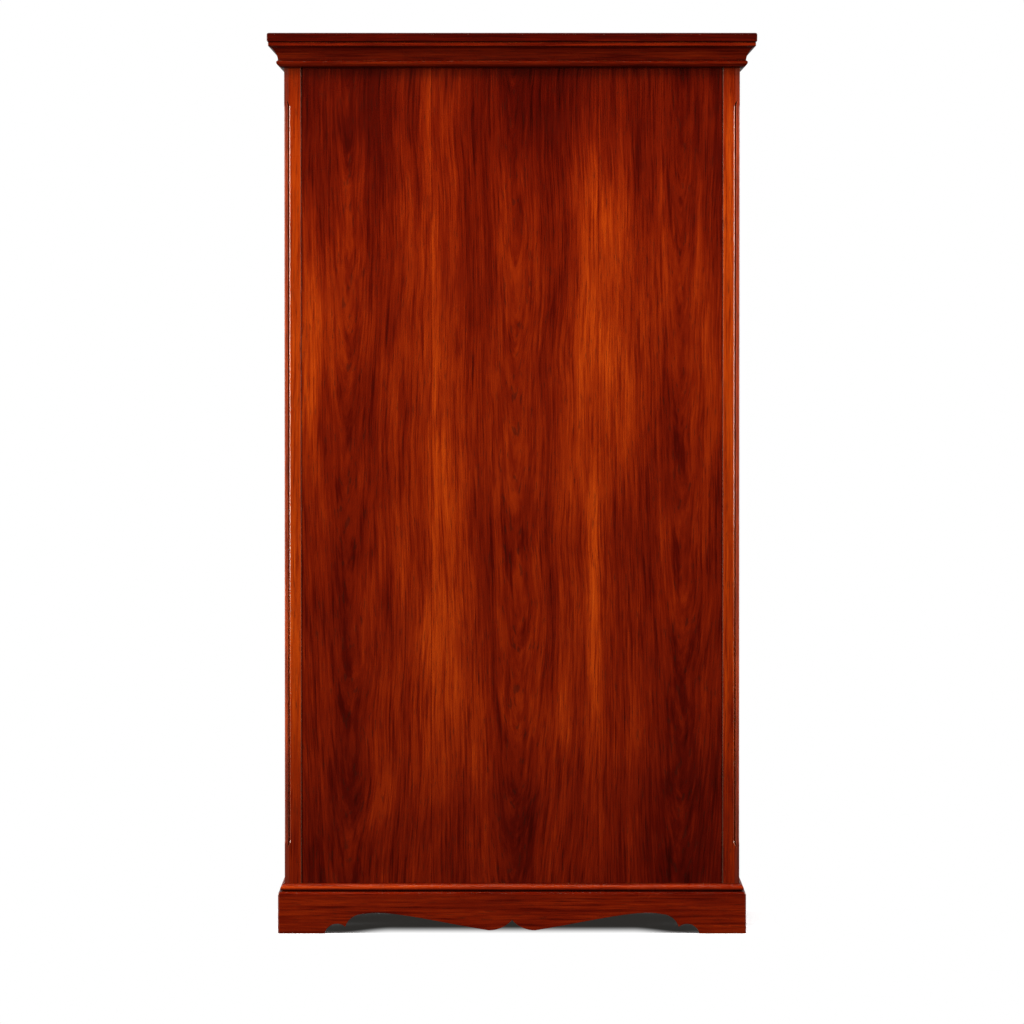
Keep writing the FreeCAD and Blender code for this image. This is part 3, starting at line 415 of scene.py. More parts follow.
def leaf_grain(tree, coordinates, first_seam, width):
    """Place in flat-sawn leaves set side by side, and the distance in from a leaf's edge.

    The rings close in long V shapes at each leaf's heart."""
    parts = split(tree, coordinates)
    across, height = parts["X"], parts["Z"]
    along = calc(tree, "DIVIDE", less(tree, across, first_seam), width)
    leaf = calc(tree, "FLOOR", along)
    heart = swing(tree, less(tree, along, leaf), width)
    sway = swing(tree, noise(tree, stretched(tree, coordinates, 1.5, 2.0)), RING_SWAY)
    depth = plus(tree, times(tree, height, -LEAF_TILT), plus(tree, sway, HEART_DEPTH))
    side = plus(tree, heart, times(tree, sway, 1.3))
    radius = calc(tree, "SQRT", plus(tree, times(tree, side, side), times(tree, depth, depth)))
    beside = plus(tree, times(tree, across, 0.16), times(tree, leaf, NEXT_LEAF))
    place = joined(tree, X=radius, Y=beside, Z=height)
    return place, less(tree, width / 2, calc(tree, "ABSOLUTE", heart))


def back_leaves(tree, coordinates, where, light):
    """Grain and light of the back's three slip-matched leaves."""
    look = bpy.context.scene.armoire_look
    place, edge = leaf_grain(tree, coordinates, look.first_seam, look.leaf_width)
    parts = split(tree, coordinates)
    across, height = parts["X"], parts["Z"]
    wander = noise(tree, stretched(tree, coordinates, 9.0, 1.9), detail=4.0, roughness=0.6)
    swayed = plus(tree, across, swing(tree, wander, 0.06))
    # painted shade: darker at the top under the cornice and towards the foot
    total = plus(tree, spread(tree, height, 1.25, PANEL_HIGH.z, light, light - 0.14),
                 spread(tree, height, 0.42, PANEL_LOW.z, 0.0, -0.11))
    total = with_patches(tree, total, swayed, height, BACK_STREAKS)
    seam = spread(tree, edge, look.seam_width, 0.0, 0.0, SEAM_STAIN)
    # painted shade in the rebate beside each post
    rebate = spread(tree, calc(tree, "ABSOLUTE", across), POST_INNER - 0.0030,
                    POST_INNER - 0.0005, 0.0, REBATE_SHADE)
    return place, plus(tree, total, seam, rebate)


def side_leaves(tree, coordinates, where, light):
    """Grain and light of a side's two leaves, which lie across the depth of the case."""
    look = bpy.context.scene.armoire_look
    parts = split(tree, coordinates)
    turned_round = joined(tree, X=parts["Y"], Y=parts["X"], Z=parts["Z"])
    front_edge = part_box("post_front_right")[0].y
    place, edge = leaf_grain(tree, turned_round, -front_edge, look.side_leaf_width)
    place = shifted(tree, place, joined(tree, Y=times(tree, parts["X"], 0.6)))
    patches = noise(tree, stretched(tree, coordinates, 6.0, 1.6), detail=3.0, roughness=0.55)
    seam = spread(tree, edge, look.seam_width, 0.0, 0.0, SIDE_SEAM_STAIN)
    return place, plus(tree, light, swing(tree, patches, 0.5), seam)


def door_leaf(tree, coordinates, where, light):
    """Grain of a door panel's single leaf, its heart a little off the panel's middle."""
    low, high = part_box("door_right_panel")
    return leaf_grain(tree, coordinates, low.x, low.x + high.x)[0], light


def cornice_grain(tree, coordinates, where, light):
    """The cornice's own place, with painted shade on its fascia and in its quirks, and painted
    highlights on its rounds and its lower bead.
    """
    height = split(tree, coordinates)["Z"]
    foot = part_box("cornice_back")[0].z
    start, end = (CASE_HEIGHT - down for down in FASCIA_EDGE)
    # painted shade on the fascia, and painted light on the bead at the cornice's foot
    total = plus(tree, spread(tree, height, start, end, light, light + FASCIA_SHADE),
                 spread(tree, height, foot + 0.022, foot + 0.014, 0.0, 0.03))
    return where, with_bands(tree, total, height, [
        (CASE_HEIGHT - down, half_width, strength)
        for down, half_width, strength in CORNICE_SHADING_BANDS])


def base_grain(tree, coordinates, where, light):
    """The base's own place, with painted shade over and under its bead and a painted highlight on
    it.
    """
    return where, with_bands(tree, light, split(tree, coordinates)["Z"], BASE_SHADING_BANDS)


# -------------------- metal and inside timber

def metal(name, colour, roughness, tarnish):
    """Handled metal: tarnish in patches, fine scratches and soft dents."""
    material, tree, shader = new_material(name)
    place = own_place(tree)
    patches = noise(tree, place, scale=55.0, detail=5.0, roughness=0.65)
    scratches = noise(tree, stretched(tree, place, 900.0, 120.0))
    colours = mixed(tree, spread(tree, patches, 0.35, 0.72), colour, tarnish)
    tree.links.new(colours, shader.inputs["Base Color"])
    rough = plus(tree, spread(tree, patches, 0.3, 0.8, roughness, roughness + 0.2),
                 times(tree, scratches, 0.08))
    tree.links.new(rough, shader.inputs["Roughness"])
    set_relief(tree, shader, plus(tree, times(tree, scratches, 0.2), patches), 0.08, 0.0006)
    shader.inputs["Metallic"].default_value = 1.0
    return material


def waxed(name, light_colour, dark_colour, grain):
    """Plain secondary timber for the inside, waxed and dull."""
    material, tree, shader = new_material(name)
    place = add(tree, "ShaderNodeMapping", {
        "Vector": own_place(tree), "Rotation": grain}).outputs["Vector"]
    broad = noise(tree, stretched(tree, place, 22.0, 1.2), detail=3.0, roughness=0.6)
    fibre = noise(tree, stretched(tree, place, 260.0, 7.0), detail=3.0, roughness=0.6)
    tone = plus(tree, times(tree, broad, 0.6), times(tree, fibre, 0.4))
    colour = ramp(tree, tone, [(0.32, dark_colour), (0.68, light_colour)])
    tree.links.new(colour, shader.inputs["Base Color"])
    tree.links.new(spread(tree, fibre, 0.3, 0.7, 0.42, 0.58), shader.inputs["Roughness"])
    set_relief(tree, shader, fibre, 0.15, 0.0005)
    return material


def finish(names, material):
    """Give CAD pieces a material."""
    for name in names:
        slots = NODES[name].data.materials
        slots.clear()
        slots.append(material)


# -------------------- built pieces

SMOOTH_BELOW = math.radians(40)     # faces that meet at more than this keep a sharp edge
WELD, MITRE_WELD = 1e-6, 1e-5


def in_place(name, mesh, material, body):
    """New piece at the origin with its place in its mesh, riding on a body."""
    mesh.materials.clear()
    mesh.materials.append(material)
    mesh.shade_smooth()
    mesh.set_sharp_from_angle(angle=SMOOTH_BELOW)
    piece = bpy.data.objects.new(name, mesh)
    bpy.context.scene.collection.objects.link(piece)
    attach(piece, body)
    return piece


def outward(mesh):
    """Merge doubles and turn every face outwards."""
    work = bmesh.new()
    work.from_mesh(mesh)
    bmesh.ops.remove_doubles(work, verts=work.verts, dist=WELD)
    bmesh.ops.recalc_face_normals(work, faces=work.faces)
    work.to_mesh(mesh)
    work.free()


def closed_mesh(name, work):
    """Plain mesh from finished work, its faces turned outwards."""
    bmesh.ops.recalc_face_normals(work, faces=work.faces)
    mesh = bpy.data.meshes.new(name)
    work.to_mesh(mesh)
    work.free()
    return mesh


def bridged(work, loops):
    """Faces between each loop of points and the next."""
    for first, second in zip(loops, loops[1:]):
        for i in range(len(first)):
            j = (i + 1) % len(first)
            work.faces.new((first[i], first[j], second[j], second[i]))


def fanned(work, loop, tip):
    """Faces from a loop of points to one point."""
    for i in range(len(loop)):
        work.faces.new((loop[i], loop[(i + 1) % len(loop)], tip))


def baked(holder, tree, settings):
    """Plain mesh that a node tree makes on a holder object; the holder is then removed."""
    modifier = holder.modifiers.new("build", "NODES")
    modifier.node_group = tree
    for item in tree.interface.items_tree:
        if item.item_type == "SOCKET" and item.in_out == "INPUT" and item.name in settings:
            modifier[item.identifier] = settings[item.name]
    bpy.context.view_layer.update()
    evaluated = holder.evaluated_get(bpy.context.evaluated_depsgraph_get())
    mesh = bpy.data.meshes.new_from_object(evaluated)
    holder.modifiers.remove(modifier)
    bpy.data.objects.remove(holder)
    return mesh


def holder_for(mesh):
    """Temporary object that carries a node tree."""
    holder = bpy.data.objects.new("holder", mesh)
    bpy.context.scene.collection.objects.link(holder)
    return holder


def geometry_tree(name, inputs):
    """Empty tree for a modifier; the holder's geometry comes before its other inputs."""
    shape = ("Geometry", "Geometry")
    tree, given, result = new_tree(name, "GeometryNodeTree", [shape, *inputs], [shape])
    tree.is_modifier = True
    return tree, given, result


def end_tree(tree, geometry, material, result):
    """Realize a tree's instances, set their material and send them out."""
    real = add(tree, "GeometryNodeRealizeInstances", {"Geometry": geometry})
    done = add(tree, "GeometryNodeSetMaterial", {"Geometry": real.outputs[0], "Material": material})
    tree.links.new(done.outputs[0], result["Geometry"])


# ovolo section: (share of its width in from the frame, share of its height)
OVOLO = ((1.0, 0.0), (1.0, 0.16), (0.90, 0.20), (0.84, 0.40), (0.72, 0.60), (0.55, 0.76),
         (0.36, 0.87), (0.26, 0.90), (0.24, 1.0), (0.06, 1.0), (0.0, 0.94), (0.0, 0.0), (1.0, 0.0))


def moulding_tree():
    """Mitred frame of ovolo moulding in the corner round an opening."""
    tree, given, result = geometry_tree("Panel moulding", [
        ("Centre", "Vector"), ("Opening", "Vector"), ("Width", "Float"), ("Height", "Float"),
        ("Material", "Material")])
    rows, corners = len(OVOLO), 4
    grid = add(tree, "GeometryNodeMeshGrid", {
        "Size X": 1.0, "Size Y": 1.0, "Vertices X": corners + 1, "Vertices Y": rows})
    at = split(tree, add(tree, "GeometryNodeInputPosition").outputs[0])
    corner = calc(tree, "ROUND", times(tree, plus(tree, at["X"], 0.5), float(corners)))
    row = calc(tree, "ROUND", times(tree, plus(tree, at["Y"], 0.5), rows - 1.0))
    section = tree.nodes.new("GeometryNodeIndexSwitch")
    section.data_type = "VECTOR"
    while len(section.index_switch_items) < rows:
        section.index_switch_items.new()
    tree.links.new(row, section.inputs["Index"])
    for index, (inset, rise) in enumerate(OVOLO):
        section.inputs[str(index)].default_value = (inset, rise, 0.0)
    share = split(tree, section.outputs[0])
    inset = times(tree, share["X"], given["Width"])
    rise = times(tree, share["Y"], given["Height"])
    half = add(tree, "ShaderNodeVectorMath", {0: given["Opening"], 1: (0.5, 0.5, 0.5)},
               operation="MULTIPLY")
    reach = split(tree, half.outputs[0])
    # corners 1 and 2 lie towards +X, corners 2 and 3 towards +Z
    sides = {}
    for middle, axis in ((1.5, "X"), (2.5, "Z")):
        off = calc(tree, "ABSOLUTE", less(tree, corner, middle))
        sign = calc(tree, "SIGN", less(tree, 1.0, off))
        sides[axis] = times(tree, sign, less(tree, reach[axis], inset))
    place = shifted(tree, given["Centre"], joined(tree, Y=rise, **sides))
    moved = add(tree, "GeometryNodeSetPosition", {
        "Geometry": grid.outputs["Mesh"], "Position": place})
    merged = add(tree, "GeometryNodeMergeByDistance", {
        "Geometry": moved.outputs[0], "Distance": MITRE_WELD})
    end_tree(tree, merged.outputs[0], given["Material"], result)
    return tree


def loose_parts(mesh):
    """The points of each separate part of a mesh."""
    work = bmesh.new()
    work.from_mesh(mesh)
    bmesh.ops.remove_doubles(work, verts=work.verts, dist=WELD)
    left, parts = set(work.verts), []
    while left:
        part, front = [], [left.pop()]
        while front:
            vert = front.pop()
            part.append(vert.co.copy())
            near = {edge.other_vert(vert) for edge in vert.link_edges} & left
            left -= near
            front.extend(near)
        parts.append(part)
    work.free()
    return parts


def fixing_places(node):
    """(head's centre, axis, radius, length) of each screw in a CAD node.

    The axis points out of the screw's head, which is its widest part."""
    places = []
    for part in loose_parts(NODES[node].data):
        low = Vector([min(point[i] for point in part) for i in range(3)])
        high = Vector([max(point[i] for point in part) for i in range(3)])
        centre, size = (low + high) / 2, high - low
        along = max(range(3), key=lambda i: size[i])
        line = Vector([float(i == along) for i in range(3)])
        radius = size[(along + 1) % 3] / 2
        rim = [point[along] for point in part
               if (point - centre - (point - centre).dot(line) * line).length > RIM * radius]
        outwards = sum(rim) / len(rim) > centre[along]
        centre[along] = (high if outwards else low)[along]
        places.append((centre, line if outwards else -line, radius, size[along]))
    return sorted(places, key=lambda place: tuple(place[0]))


# sizes of a wood screw as shares of its head's radius
SLOT_HALF_WIDTH, SLOT_HALF_LENGTH, SLOT_DEPTH = 0.13, 0.84, 0.3
HEAD = ((0.97, 0.06), (0.52, 0.50), (0.50, 0.56))       # (radius, depth) down the countersink
THREAD_ROOT, THREAD_CREST, THREAD_RISE = 0.36, 0.50, 0.12
THREAD_START, THREAD_ENDS = 0.8, 2.2        # bare shank under the head; the same with the point
SCREW_SIDES, SCREW_TURNS = 20, 7
RIM = 0.95      # share of the head's radius beyond which a point is on its rim


def slotted_screw(radius, length):
    """Countersunk wood screw with a slot, head face at the origin and pointing to +Z."""
    work = bmesh.new()

    def copied(loop, share, depth):
        return [work.verts.new((vert.co.x * share, vert.co.y * share, -depth)) for vert in loop]

    angles = [2 * math.pi * index / SCREW_SIDES for index in range(SCREW_SIDES)]
    ring = [work.verts.new((radius * math.cos(angle), radius * math.sin(angle), 0.0))
            for angle in angles]
    half, end = SLOT_HALF_WIDTH * radius, SLOT_HALF_LENGTH * radius
    slot = [work.verts.new((x, y, 0.0))
            for x, y in ((-end, -half), (end, -half), (end, half), (-end, half))]
    edges = [work.edges.new((loop[i], loop[(i + 1) % len(loop)])) for loop in (ring, slot)
             for i in range(len(loop))]
    bmesh.ops.triangle_fill(work, edges=edges, use_beauty=True)
    floor = copied(slot, 1.0, SLOT_DEPTH * radius)
    bridged(work, (slot, floor))
    work.faces.new(floor)
    loops = [ring] + [copied(ring, share, radius * depth) for share, depth in HEAD]
    for turn in range(SCREW_TURNS):
        depth = THREAD_START * radius + (length - THREAD_ENDS * radius) * turn / SCREW_TURNS
        loops.append(copied(ring, THREAD_ROOT, depth))
        loops.append(copied(ring, THREAD_CREST, depth + THREAD_RISE * radius))
    bridged(work, loops)
    fanned(work, loops[-1], work.verts.new((0.0, 0.0, -length)))
    return closed_mesh("screw", work)


def screws_tree():
    """A screw on each point, turned to the point's axis, with its slot at a chance angle."""
    tree, given, result = geometry_tree("Screws", [
        ("Screw", "Object"), ("Seed", "Int"), ("Material", "Material")])
    screw = add(tree, "GeometryNodeObjectInfo", {"Object": given["Screw"]},
                transform_space="ORIGINAL")
    axis = add(tree, "GeometryNodeInputNamedAttribute", {"Name": "axis"}, data_type="FLOAT_VECTOR")
    align = add(tree, "FunctionNodeAlignRotationToVector", {"Vector": axis.outputs[0]}, axis="Z")
    # inputs 2 and 3 are the lowest and highest of a random number
    chance = add(tree, "FunctionNodeRandomValue", {2: 0.0, 3: math.pi, "Seed": given["Seed"]},
                 data_type="FLOAT")
    spin = add(tree, "FunctionNodeAxisAngleToRotation", {
        "Axis": (0.0, 0.0, 1.0), "Angle": chance.outputs[1]})
    turn = add(tree, "FunctionNodeRotateRotation", {
        "Rotation": align.outputs[0], "Rotate By": spin.outputs[0]}, rotation_space="LOCAL")
    placed = add(tree, "GeometryNodeInstanceOnPoints", {
        "Points": given["Geometry"], "Instance": screw.outputs["Geometry"],
        "Rotation": turn.outputs[0]})
    end_tree(tree, placed.outputs[0], given["Material"], result)
    return tree


# knob's profile: (share of its radius, share of its reach)
KNOB = ((0.0, 0.0), (0.98, 0.0), (1.0, 0.012), (1.0, 0.034), (0.96, 0.052), (0.88, 0.060),
        (0.84, 0.075), (0.80, 0.100), (0.62, 0.135), (0.50, 0.185), (0.43, 0.260), (0.40, 0.360),
        (0.40, 0.440), (0.44, 0.490), (0.54, 0.508), (0.58, 0.530), (0.54, 0.552), (0.50, 0.565),
        (0.58, 0.585), (0.76, 0.640), (0.88, 0.715), (0.915, 0.790), (0.88, 0.870), (0.76, 0.940),
        (0.58, 0.978), (0.44, 0.985), (0.36, 0.975), (0.20, 0.990), (0.0, 1.0))
KNOB_SIDES, STEPS_BETWEEN = 56, 3       # sides of a ring; steps from one point to the next


def rounded(points):
    """Smooth line through the points of a profile."""
    line = []
    for i in range(len(points) - 1):
        before, start = Vector(points[max(i - 1, 0)]), Vector(points[i])
        end, after = Vector(points[i + 1]), Vector(points[min(i + 2, len(points) - 1)])
        for step in range(STEPS_BETWEEN):
            t = step / STEPS_BETWEEN
            pull = ((end - before) * 0.5 * (t - 2 * t ** 2 + t ** 3)
                    + (after - start) * 0.5 * (t ** 3 - t ** 2))
            share = 3 * t ** 2 - 2 * t ** 3
            line.append(start * (1 - share) + end * share + pull)
    return line + [Vector(points[-1])]


def turned(profile, centre):
    """Solid turned about an axis along +Y; profile is (radius, distance out), poles at its ends."""
    work = bmesh.new()
    angles = [2 * math.pi * index / KNOB_SIDES for index in range(KNOB_SIDES)]
    ways = [Vector((math.cos(angle), 0.0, math.sin(angle))) for angle in angles]
    rings = [[work.verts.new(centre + radius * way + Vector((0.0, out, 0.0))) for way in ways]
             for radius, out in profile[1:-1]]
    for ring, (_, out) in ((rings[0], profile[0]), (rings[-1], profile[-1])):
        fanned(work, ring, work.verts.new(centre + Vector((0.0, out, 0.0))))
    bridged(work, rings)
    return closed_mesh("turned", work)


# -------------------- settings

class ArmoireLook(bpy.types.PropertyGroup):
    """Sizes and colours that a user would change."""
    leaf_width: FloatProperty(
        name="Leaf width", description="Width of one veneer leaf on the back",
        default=0.352, unit="LENGTH")
    first_seam: FloatProperty(
        name="First seam", description="Place of the left seam from the middle",
        default=-0.170, unit="LENGTH")
    side_leaf_width: FloatProperty(
        name="Side leaf width", description="Width of one veneer leaf on the sides",
        default=0.254, unit="LENGTH")
    seam_width: FloatProperty(
        name="Seam width", description="Half width of the line between two leaves",
        default=0.0011, unit="LENGTH")
    brass: FloatVectorProperty(
        name="Brass", description="Colour of the brassware",
        default=(0.60, 0.38, 0.13), subtype="COLOR", size=3)
    steel: FloatVectorProperty(
        name="Steel", description="Colour of the lock and bolts",
        default=(0.42, 0.40, 0.37), subtype="COLOR", size=3)
    backdrop: FloatVectorProperty(
        name="Backdrop", description="Colour of the floor",
        default=(0.95, 0.95, 0.95), subtype="COLOR", size=3)
    moulding_width: FloatProperty(
        name="Moulding width", description="Ovolo moulding round the door panels",
        default=0.016, unit="LENGTH")
    moulding_proud: FloatProperty(
        name="Moulding proud", description="Moulding's crown in front of the door frame",
        default=0.0015, unit="LENGTH")
    screw_seed: IntProperty(
        name="Screw seed", description="Changes the angles of the screw slots", default=7)
    camera_distance: FloatProperty(
        name="Camera distance", description="From the middle of the armoire",
        default=16.0, unit="LENGTH")
    eye_height: FloatProperty(
        name="Eye height", description="Height of the camera", default=1.3, unit="LENGTH")
    view_middle: FloatProperty(
        name="View middle", description="Height that the camera looks at",
        default=0.8912, unit="LENGTH")
    view_height: FloatProperty(
        name="View height", description="Height that the picture takes in",
        default=2.16, unit="LENGTH")


# -------------------- pieces

class ARMOIRE_OT_timber(bpy.types.Operator):
    """Finish every outer piece of mahogany, each with its grain running its own length"""
    bl_idname = "armoire.timber"
    bl_label = "Polished timber"

    def execute(self, context):
        # each piece takes its grain from its own place in the log
        finish(["back_panel"], polished(
            "back_veneer", (0.0, 0.0, 0.0), UP, light=-0.045, streaks=0.75, leaves=back_leaves))
        for index, side in enumerate(SIDES):
            finish(["side_panel_" + side], polished(
                "side_veneer_" + side, (3.1 + index, 1.7, 0.4), UP, light=-0.02, streaks=0.75,
                leaves=side_leaves))
            for end in ("front", "back"):
                post = "post_%s_%s" % (end, side)
                finish([post], polished(
                    post, (5.3 * index + len(end), 2.0, 1.3), UP, light=0.24, streaks=0.45,
                    leaves=post_grain, rubbed_post=True))
            door = "door_%s_" % side
            finish([door + "hinge_stile", door + "meeting_stile"], polished(
                "door_stiles_" + side, (8.2 + index, 0.6, 2.1), UP, light=0.05, streaks=0.6))
            finish([door + "top_rail", door + "bottom_rail"], polished(
                "door_rails_" + side, (1.4 + index, 4.2, 0.3), ALONG_X, light=0.05, streaks=0.6))
            finish([door + "panel"], polished(
                "door_veneer_" + side, (0.0, 0.0, 0.0), UP, light=-0.02, leaves=door_leaf))
        for side, grain in (("front", ALONG_X), ("back", ALONG_X),
                            ("left", ALONG_Y), ("right", ALONG_Y)):
            place = (2.7, 0.5 * len(side), 3.9)
            finish(["cornice_" + side], polished(
                "cornice_" + side, place, grain, light=-0.10, streaks=0.4, leaves=cornice_grain))
            finish(["base_bead_" + side, "plinth_apron_" + side], polished(
                "base_" + side, place[::-1], grain, light=-0.055, streaks=0.4, leaves=base_grain))
        finish(["door_meeting_bead"], bpy.data.materials["door_stiles_right"])
        finish(["front_top_rail", "door_sill"], bpy.data.materials["door_rails_right"])
        return {"FINISHED"}


class ARMOIRE_OT_inside(bpy.types.Operator):
    """Finish the shelf, boards, cleats and glue blocks in plain waxed timber"""
    bl_idname = "armoire.inside"
    bl_label = "Inside timber"

    def execute(self, context):
        pale, deep = (0.34, 0.17, 0.070), (0.17, 0.075, 0.028)
        finish(["hat_shelf", "top_board", "bottom_board"],
               waxed("inside_boards", pale, deep, ALONG_X))
        finish(["cornice_blocks", "plinth_blocks"], waxed("inside_blocks", pale, deep, UP))
        finish(["shelf_cleats"], waxed("inside_cleats", pale, deep, ALONG_Y))
        wash, deep_wash = (0.150, 0.048, 0.014), (0.070, 0.018, 0.005)
        finish(["dust_board"], waxed("dust_board_wash", wash, deep_wash, ALONG_X))
        return {"FINISHED"}


class ARMOIRE_OT_brassware(bpy.types.Operator):
    """Finish the hinges, lock, bolts, hanging rail and their fixings"""
    bl_idname = "armoire.brassware"
    bl_label = "Brassware"

    def execute(self, context):
        look = context.scene.armoire_look
        brass = metal("brass", tuple(look.brass), roughness=0.24, tarnish=(0.34, 0.19, 0.06))
        steel = metal("steel", tuple(look.steel), roughness=0.28, tarnish=(0.20, 0.18, 0.16))
        finish(["lock_case", "lock_bolt", "lock_key", "flush_bolt_top", "flush_bolt_bottom",
                "cornice_screws"], steel)
        finish([name for name in NODES if name.startswith("hinge_")], brass)
        finish(["knob_left", "knob_right", "lock_escutcheon", "lock_strike", "flush_bolt_plates",
                "hanging_rail", "rail_sockets", "rail_socket_screws"], brass)
        return {"FINISHED"}


class ARMOIRE_OT_mouldings(bpy.types.Operator):
    """Run an ovolo moulding round both faces of each door's panel"""
    bl_idname = "armoire.mouldings"
    bl_label = "Door mouldings"

    def execute(self, context):
        look = context.scene.armoire_look
        tree = moulding_tree()
        for side in SIDES:
            door = "door_%s_" % side
            material = bpy.data.materials["door_stiles_" + side]
            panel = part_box(door + "panel")
            stiles = sorted((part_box(door + "meeting_stile"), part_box(door + "hinge_stile")),
                            key=lambda box: box[0].x)
            low = Vector((stiles[0][1].x, 0.0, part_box(door + "bottom_rail")[1].z))
            high = Vector((stiles[1][0].x, 0.0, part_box(door + "top_rail")[0].z))
            middle, opening = (low + high) / 2, high - low
            for face, corner, sign in (("front", 1, 1.0), ("inside", 0, -1.0)):
                start = panel[corner].y
                height = abs(stiles[0][corner].y - start) + look.moulding_proud
                mesh = baked(holder_for(bpy.data.meshes.new("holder")), tree, {
                    "Centre": (middle.x, start, middle.z), "Opening": tuple(opening),
                    "Width": look.moulding_width, "Height": sign * height, "Material": material})
                outward(mesh)
                in_place("door_moulding_%s_%s" % (side, face), mesh, material, "door_" + side)
        return {"FINISHED"}


class ARMOIRE_OT_knobs(bpy.types.Operator):
    """Turn the two door knobs, each with its rose"""
    bl_idname = "armoire.knobs"
    bl_label = "Knobs"

    def execute(self, context):
        for side in SIDES:
            low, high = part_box("knob_" + side)
            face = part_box("door_%s_meeting_stile" % side)[1].y
            radius, reach = (high.x - low.x) / 2, high.y - face
            profile = rounded([(radius * out, reach * along) for out, along in KNOB])
            centre = Vector(((low.x + high.x) / 2, face, (low.z + high.z) / 2))
            piece = in_place("turned_knob_" + side, turned(profile, centre),
                             bpy.data.materials["brass"], "door_" + side)
            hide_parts("knob_" + side)
        return {"FINISHED"}


class ARMOIRE_OT_screws(bpy.types.Operator):
    """Slotted screws in the hinge leaves and rail sockets"""
    bl_idname = "armoire.screws"
    bl_label = "Slotted screws"

    def execute(self, context):
        brass = bpy.data.materials["brass"]
        tree = screws_tree()
        for node, body in (("hinge_case_screws", "case"), ("hinge_door_screws_left", "door_left"),
                           ("hinge_door_screws_right", "door_right"),
                           ("rail_socket_screws", "case")):
            places = fixing_places(node)
            points = bpy.data.meshes.new("points")
            points.from_pydata([tuple(head) for head, *_ in places], [], [])
            axes = points.attributes.new("axis", "FLOAT_VECTOR", "POINT")
            for index, (_, axis, *_) in enumerate(places):
                axes.data[index].vector = axis
            radius, length = places[0][2:]
            screw = bpy.data.objects.new("screw", slotted_screw(radius, length))
            context.scene.collection.objects.link(screw)
            mesh = baked(holder_for(points), tree, {
                "Screw": screw, "Seed": context.scene.armoire_look.screw_seed, "Material": brass})
            bpy.data.objects.remove(screw)
            piece = in_place("slotted_" + node, mesh, brass, body)
            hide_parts(node)
        return {"FINISHED"}


# -------------------- stage

WHITE = (1.0, 1.0, 1.0, 1.0)
SHADOW = (0.026, 0.027, 0.026, 1.0)
FLOOR_HALF = 14.0
FLOOR_MOTTLE = 0.985        # its darker patches, as a share of its colour
AMBIENT, SHEEN = 0.16, 0.13     # strength of the white all round, and behind in polish
SENSOR = 36.0
# soft boxes: (name, place, height aimed at, size, power, shown in polish)
SOFT_BOXES = (
    ("left_light", (-4.7, -1.9, 2.2), 1.15, (1.3, 3.4), 370.0, True),
    ("right_light", (4.7, -1.9, 2.2), 1.15, (1.3, 3.0), 250.0, True),
    ("rear_left_light", (-3.8, 3.4, 1.9), 0.95, (1.4, 3.2), 150.0, True),
    ("rear_right_light", (3.8, 3.4, 1.9), 0.95, (1.4, 3.2), 150.0, True),
    ("top_light", (0.0, -1.7, 5.2), 0.8, (2.0, 2.0), 330.0, False),
)


def pale_floor(colour):
    """Wide plain floor that fades into the white behind it."""
    mesh = bpy.data.meshes.new("floor")
    corners = [(FLOOR_HALF * x, FLOOR_HALF * y, 0.0)
               for x, y in ((-1, -1), (1, -1), (1, 1), (-1, 1))]
    mesh.from_pydata(corners, [], [(0, 1, 2, 3)])
    floor = bpy.data.objects.new("floor", mesh)
    bpy.context.scene.collection.objects.link(floor)
    material, tree, shader = new_material("pale_floor")
    place = own_place(tree)
    cloud = noise(tree, place, scale=1.5, detail=3.0)
    shade = tuple(FLOOR_MOTTLE * channel for channel in colour)
    tree.links.new(mixed(tree, cloud, colour, shade), shader.inputs["Base Color"])
    shader.inputs["Roughness"].default_value = 0.9
    shader.inputs["Specular IOR Level"].default_value = 0.0

    # dark under the case, plain white from just beyond it
    parts = split(tree, place)
    half_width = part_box("plinth_apron_right")[1].x
    half_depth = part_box("plinth_apron_front")[1].y
    across = calc(tree, "ABSOLUTE", parts["X"])
    away = calc(tree, "MAXIMUM", less(tree, across, half_width),
                less(tree, calc(tree, "ABSOLUTE", parts["Y"]), half_depth))
    shadow = add(tree, "ShaderNodeEmission", {"Color": SHADOW, "Strength": 1.0})
    under = add(tree, "ShaderNodeMixShader", {
        0: spread(tree, away, 0.0, -0.10, 0.0, 0.8), 1: shader.outputs[0], 2: shadow.outputs[0]})
    # light reaches in under the arch of the back, less so beside its feet
    nearer = less(tree, times(tree, parts["Y"], -1.0), half_depth)
    nearer = less(tree, nearer,
                  spread(tree, across, half_width - 0.24, half_width - 0.11, 0.0, 0.14))
    lit = calc(tree, "MAXIMUM", spread(tree, away, -0.02, 0.07), spread(tree, nearer, -0.19, 0.02))
    white = add(tree, "ShaderNodeEmission", {"Color": WHITE, "Strength": 1.0})
    blend = add(tree, "ShaderNodeMixShader", {0: lit, 1: under.outputs[0], 2: white.outputs[0]})
    tree.links.new(blend.outputs[0], tree.nodes["Material Output"].inputs["Surface"])
    mesh.materials.append(material)
    floor.visible_glossy = False
    floor.visible_diffuse = False


